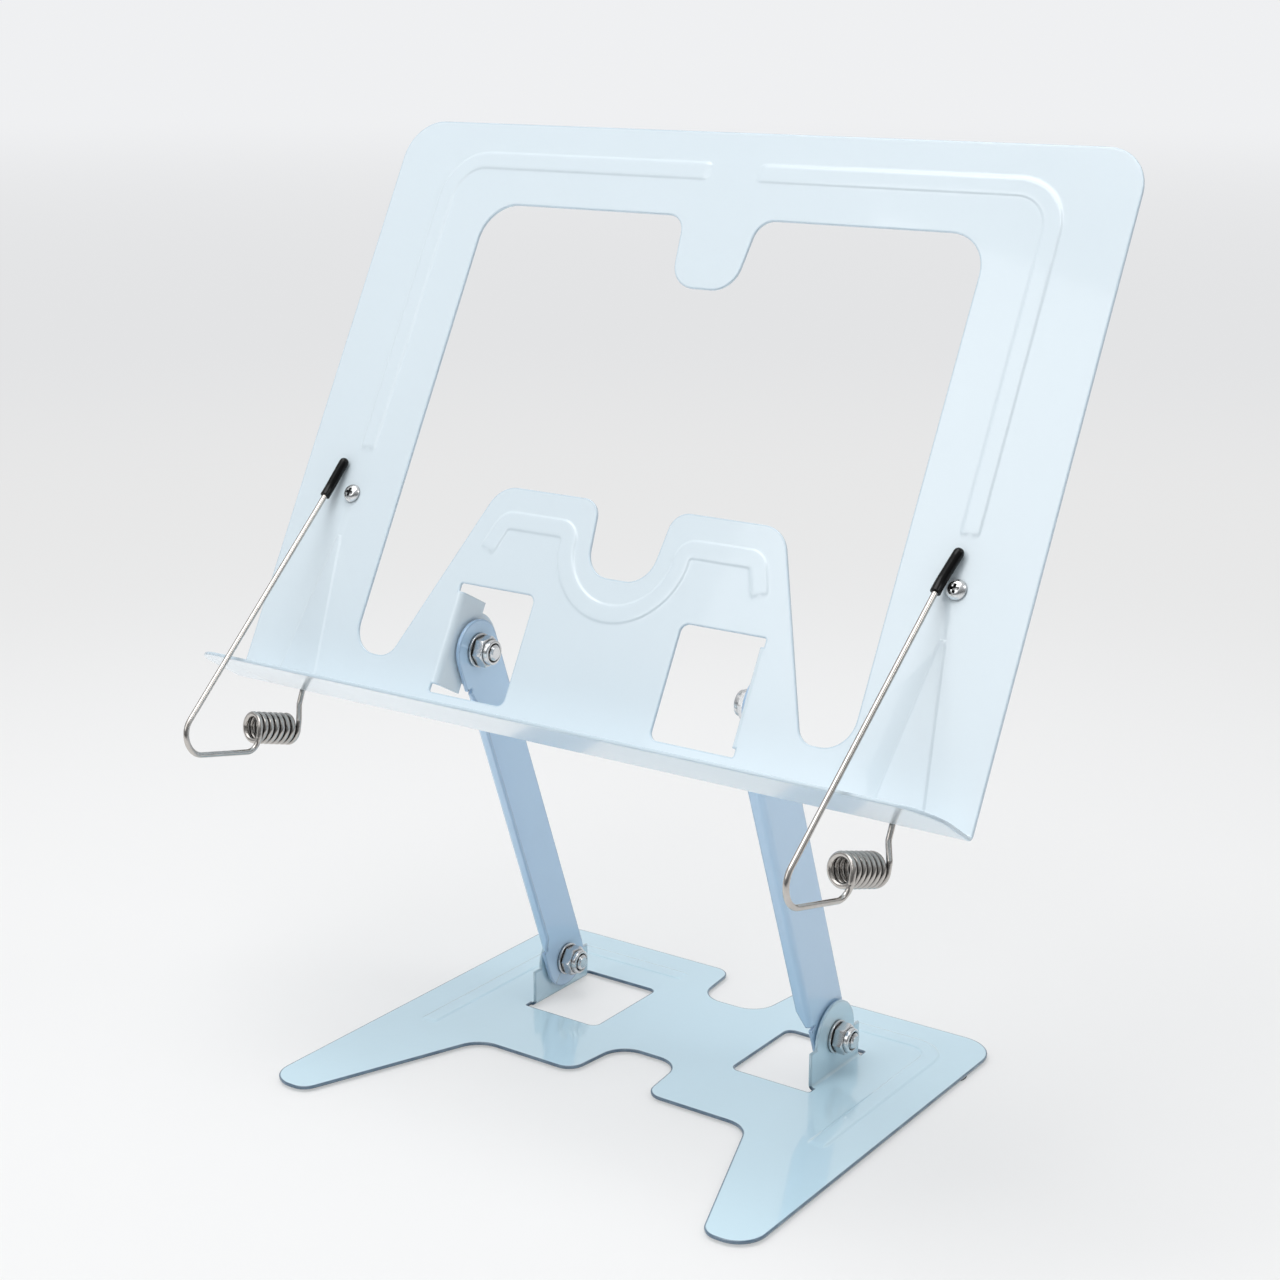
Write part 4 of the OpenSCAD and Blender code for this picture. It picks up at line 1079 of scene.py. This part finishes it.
# %% The tree that sets copies
def copies_tree():
    """Copies a shape onto the points of another object, each turned about its own axis."""
    tree, given, result = geometry_tree("set_fasteners", [
        ("Places", OBJECT, None), ("Tilt", FLOAT, 0.0), ("Seed", INTEGER, 1)])
    places = add(tree, "GeometryNodeObjectInfo", {"Object": given["Places"]}).outputs["Geometry"]
    random = add(tree, "FunctionNodeRandomValue", {"Seed": given["Seed"]}, data_type="FLOAT")
    turn = maths("MULTIPLY", random.outputs[1], tau)
    heading = add(tree, "GeometryNodeInputNamedAttribute", {"Name": "heading"},
                  data_type="FLOAT").outputs[0]
    rotation = add(tree, "ShaderNodeCombineXYZ",
                   {0: turn, 1: given["Tilt"], 2: heading}).outputs[0]
    copies = add(tree, "GeometryNodeInstanceOnPoints",
                 {"Points": places, "Instance": given["Geometry"], "Rotation": rotation})
    return finish_tree(tree, result, copies.outputs[0], given["Material"])


COPIES = copies_tree()


def set_copies(piece, name, places, tilt, seed, material, place=None, headings=(0, 0, 0, 0)):
    """Sets a fastener at places in millimetres and gives the result its name."""
    mesh = plain_mesh("places", [Vector(p) * MM for p in places], [])
    store(mesh, "heading", headings[:len(places)])
    spots = new_piece("places", mesh)
    run_tree(piece, COPIES, {"Places": spots, "Tilt": tilt, "Seed": seed,
                             "Material": material})
    bpy.data.objects.remove(spots)
    if place is not None:
        piece.data.transform(TO_METRES @ place @ TO_METRES.inverted())
    piece.name = piece.data.name = name

# %% Pivot fasteners
GRIP = SHEET + FRICTION_T + ARM_T + WASHER_T
BOLT_D, BOLT_PITCH, HEAD_D, HEAD_H, BORE = 6.0, 1.0, 10.8, 3.4, 6.2
NUT_FLATS, NUT_H, COLLAR_H, PROUD = 10.0, 4.2, 1.8, 1.0
WASHER_D, FRICTION_D = 12.4, 15.0
BOLT_LENGTH = GRIP + NUT_H + COLLAR_H + PROUD
for where, pivot, heads, ways, seeds in (
        ("base", BASE_PIVOT, (-EAR_OUT, ARM_IN), (1, 1), (3, 7)),
        ("panel", TOP_PIVOT, (-EAR_OUT, EAR_OUT), (1, -1), (3, 12))):
    headings = [0.0 if way > 0 else pi for way in ways]
    for piece, kind, distance, seed in (
            (bolt("pivot_bolt", HEAD_D, HEAD_H, BOLT_D, BOLT_LENGTH, GRIP + 1, BOLT_PITCH),
             "bolt", 0, seeds[0]),
            (nut("pivot_nut", NUT_FLATS, NUT_H, COLLAR_H, 6.1), "nut", GRIP, seeds[1]),
            (washer("pivot_washer", WASHER_D, BORE, WASHER_T), "washer", GRIP - WASHER_T, 1)):
        places = [pivot + Vector((x + way * distance, 0, 0)) for x, way in zip(heads, ways)]
        set_copies(piece, f"{where}_pivot_{kind}s", places, 0, seed, ZINC, None, headings)
        dress(piece, where, "plated_steel", f"{where}_left_{kind}", f"{where}_right_{kind}")
    spacers = washer("friction_washer", FRICTION_D, BORE, FRICTION_T, 0.15)
    set_copies(spacers, f"{where}_friction_washers",
               [pivot + Vector((x, 0, 0)) for x in (-EAR_IN, ARM_OUT)], 0, 1, FRICTION_PLASTIC)
    dress(spacers, where, "friction_plastic", f"{where}_left_friction_washer",
          f"{where}_right_friction_washer")

# %% Foot pads
PAD_R, PAD_H, PAD_SPOTS = 6, 1, ((89.5, -161.5), (95.6, -27.5))
pads = turned("pad", (soft_corner(0, PAD_R, 0.15, 1, -1)
                      + soft_corner(PAD_H, PAD_R, 0.3, -1, -1)[::-1]), 48)
pad_places = [(s * x, y + MIDDLE_Y, 0) for s in (-1, 1) for x, y in PAD_SPOTS]
set_copies(pads, "rubber_feet", pad_places, -pi / 2, 1, PAD_RUBBER)
dress(pads, "base", "pad_rubber", "foot_pads")

# %% [markdown]
# ## The page clips
# Each clip is one length of spring wire: an eye round its screw and a straight leg down,
# both behind the panel, a coil below the ledge, and a front leg that comes up to rest on the
# page. Its route is a list of points with bend radii. Geometry Nodes draws a circle along
# it, with the radius stored on each point, so the same tree also makes the rounded rubber
# sleeve.

# %% The wire tree
def wire_tree():
    """A round bar along the edges of a line, with its radius stored on the points."""
    tree, given, result = geometry_tree("round_bar", [("Sides", INTEGER, 20)])
    line = add(tree, "GeometryNodeMeshToCurve", {0: given["Geometry"]}).outputs[0]
    ring = add(tree, "GeometryNodeCurvePrimitiveCircle", {"Resolution": given["Sides"],
                                                          "Radius": 1.0}).outputs[0]
    radius = add(tree, "GeometryNodeInputNamedAttribute", {"Name": "bar_radius"},
                 data_type="FLOAT").outputs[0]
    bar = add(tree, "GeometryNodeCurveToMesh", {"Curve": line, "Profile Curve": ring,
                                                "Scale": radius, "Fill Caps": True}).outputs[0]
    bar = add(tree, "GeometryNodeSetShadeSmooth", {0: bar}).outputs[0]
    return finish_tree(tree, result, bar, given["Material"])


BAR = wire_tree()


def round_bar(name, path, radii, sides, material):
    """A bar along a path in metres."""
    mesh = plain_mesh(name, path, [], [(i, i + 1) for i in range(len(path) - 1)])
    store(mesh, "bar_radius", [r * MM for r in radii])
    piece = new_piece(name, mesh)
    run_tree(piece, BAR, {"Sides": sides, "Material": material})
    edit(piece.data, bmesh.ops.recalc_face_normals)
    piece.data.set_sharp_from_angle(angle=radians(50))
    return piece


def with_ends(path, radius, start, end):
    """Adds rounded ends of given depths to a path, and gives each point its radius."""
    def cap(p, out, depth):
        made = []
        for a in (30, 55, 75, 87):
            a = radians(a)
            made.append((p + out * depth * sin(a), radius * cos(a) + 0.02 * radius))
        return made
    first = cap(path[0], (path[0] - path[1]).normalized(), start)
    last = cap(path[-1], (path[-1] - path[-2]).normalized(), end)
    rows = first[::-1] + [(p, radius) for p in path] + last
    return [p for p, _ in rows], [r for _, r in rows]

# %% Route of a clip
WIRE_R, COIL_R, COIL_TURNS, COIL_PITCH = 1.0, 4.85, 7, 2.5
EYE_R, EYE_N = 3.3, -2.5
TIP_R, LEG_STUB, JOINT_GAP = 1.8, 2, 0.3
axis = Vector((-tan(radians(9)), -tan(radians(13)), 1)).normalized()
coil_side = (Vector((1, 0, 0)) - axis * axis.x).normalized()
coil_up = axis.cross(coil_side)
coil_start = Vector((-3.7, -89.4, -3.2))


def coil_point(a):
    """Point of the coil after turning by an angle."""
    return (coil_start + axis * COIL_PITCH * a / tau
            + COIL_R * (coil_side * cos(a) - coil_up * sin(a)))


coil = [coil_point(tau * i / 28) for i in range(28 * COIL_TURNS + 1)]
eye = [Vector((*p, EYE_N)) for p in arc(0, 0, EYE_R, radians(-80), radians(180), 27)]
back_leg = open_path([(-EYE_R, 0, EYE_N), (-1.5, -80, EYE_N), coil[0] + coil_up * 3.5, coil[0]],
                     [4, 2], radians(6))
leg_pivot = coil[-1] - coil_up * (LEG_STUB + JOINT_GAP + WIRE_R)
spring_route = eye + back_leg[1:-1] + coil + [coil[-1] - coil_up * LEG_STUB, leg_pivot]
leg_route = open_path([leg_pivot, (-2.8, -101.4, 12.4), (-4.9, -113, 52.7), (-4.4, 0.5, 3.5),
                       (-2.1, 9.8, TIP_R + 0.3)], [4.5, 7.5, 12], radians(6))
print("wire in one clip, mm:", round(sum((b - a).length for route in (spring_route, leg_route)
                                         for a, b in zip(route, route[1:]))))


def sleeve_route(route, overlap):
    """The front leg from a little before its last bend, where the rubber sleeve sits."""
    bend = max(i for i in range(1, len(route) - 1)
               if (route[i] - route[i - 1]).length > 5 and i < len(route) - 2)
    before = (route[bend] - route[bend - 1]).normalized()
    return [route[bend] - before * overlap] + route[bend:]

# %% Clips
for side, label, clip_turn, leg_set in ((-1, "left", 3.5, 2.4), (1, "right", 0.0, 0.0)):
    at_screw = (TO_METRES @ panel_turn @ Matrix.Translation((side * SCREW_X, SCREW_U, 0))
                @ Matrix.Rotation(radians(clip_turn), 4, "Z"))
    at_coil = (at_screw @ Matrix.Translation(leg_pivot)
               @ Matrix.Rotation(radians(leg_set), 4, "Z") @ Matrix.Translation(-leg_pivot))
    tip_path = sleeve_route(leg_route, 1.5)
    tip_path.append(tip_path[-1] + (tip_path[-1] - tip_path[-2]).normalized() * 1.4)
    for name, place, route, radius, ends, sides, finish, body, slot_name, node in (
            ("coil", at_screw, spring_route, WIRE_R, (0.15, 0.9), 20, WIRE,
             "clip", "spring_wire", "clip_spring"),
            ("front_leg", at_coil, leg_route, WIRE_R, (1.0, 0.3), 20, WIRE,
             "clip_front", "spring_wire", "clip_leg"),
            ("rubber", at_coil, tip_path, TIP_R, (0.25, TIP_R), 32, TIP_RUBBER,
             "clip_front", "tip_rubber", "clip_tip")):
        path, radii = with_ends(route, radius, *ends)
        bar = round_bar(f"{label}_clip_{name}", [place @ p for p in path], radii, sides, finish)
        dress(bar, f"{label}_{body}", slot_name, f"{label}_{node}")

# %% Clip screws
SEAT = -(EYE_N - WIRE_R - 0.3)
SCREW_D, SCREW_PITCH, PAN_D, PAN_H = 4.0, 0.7, 7.0, 2.2
CLIP_NUT, CLIP_NUT_H, CLIP_WASHER, CLIP_WASHER_T = 7.0, 3.2, 9.0, 0.8
screws = bolt("clip_screw", PAN_D, PAN_H, SCREW_D, SEAT + CLIP_WASHER_T + CLIP_NUT_H + 1.0,
              SEAT, SCREW_PITCH)
print("clip screw, faces with its cross recess:", len(screws.data.polygons))
for piece, kind, depth, seed in (
        (screws, "screw", 0, 5),
        (nut("clip_nut", CLIP_NUT, CLIP_NUT_H, 0, 4.1), "nut", SEAT + CLIP_WASHER_T, 9),
        (washer("clip_washer", CLIP_WASHER, 4.1, CLIP_WASHER_T), "washer", SEAT, 1)):
    set_copies(piece, f"clip_{kind}s", [(side * SCREW_X, SCREW_U, -depth) for side in (-1, 1)],
               pi / 2, seed, ZINC, panel_turn)
    dress(piece, "panel", "plated_steel", f"left_clip_{kind}", f"right_clip_{kind}")
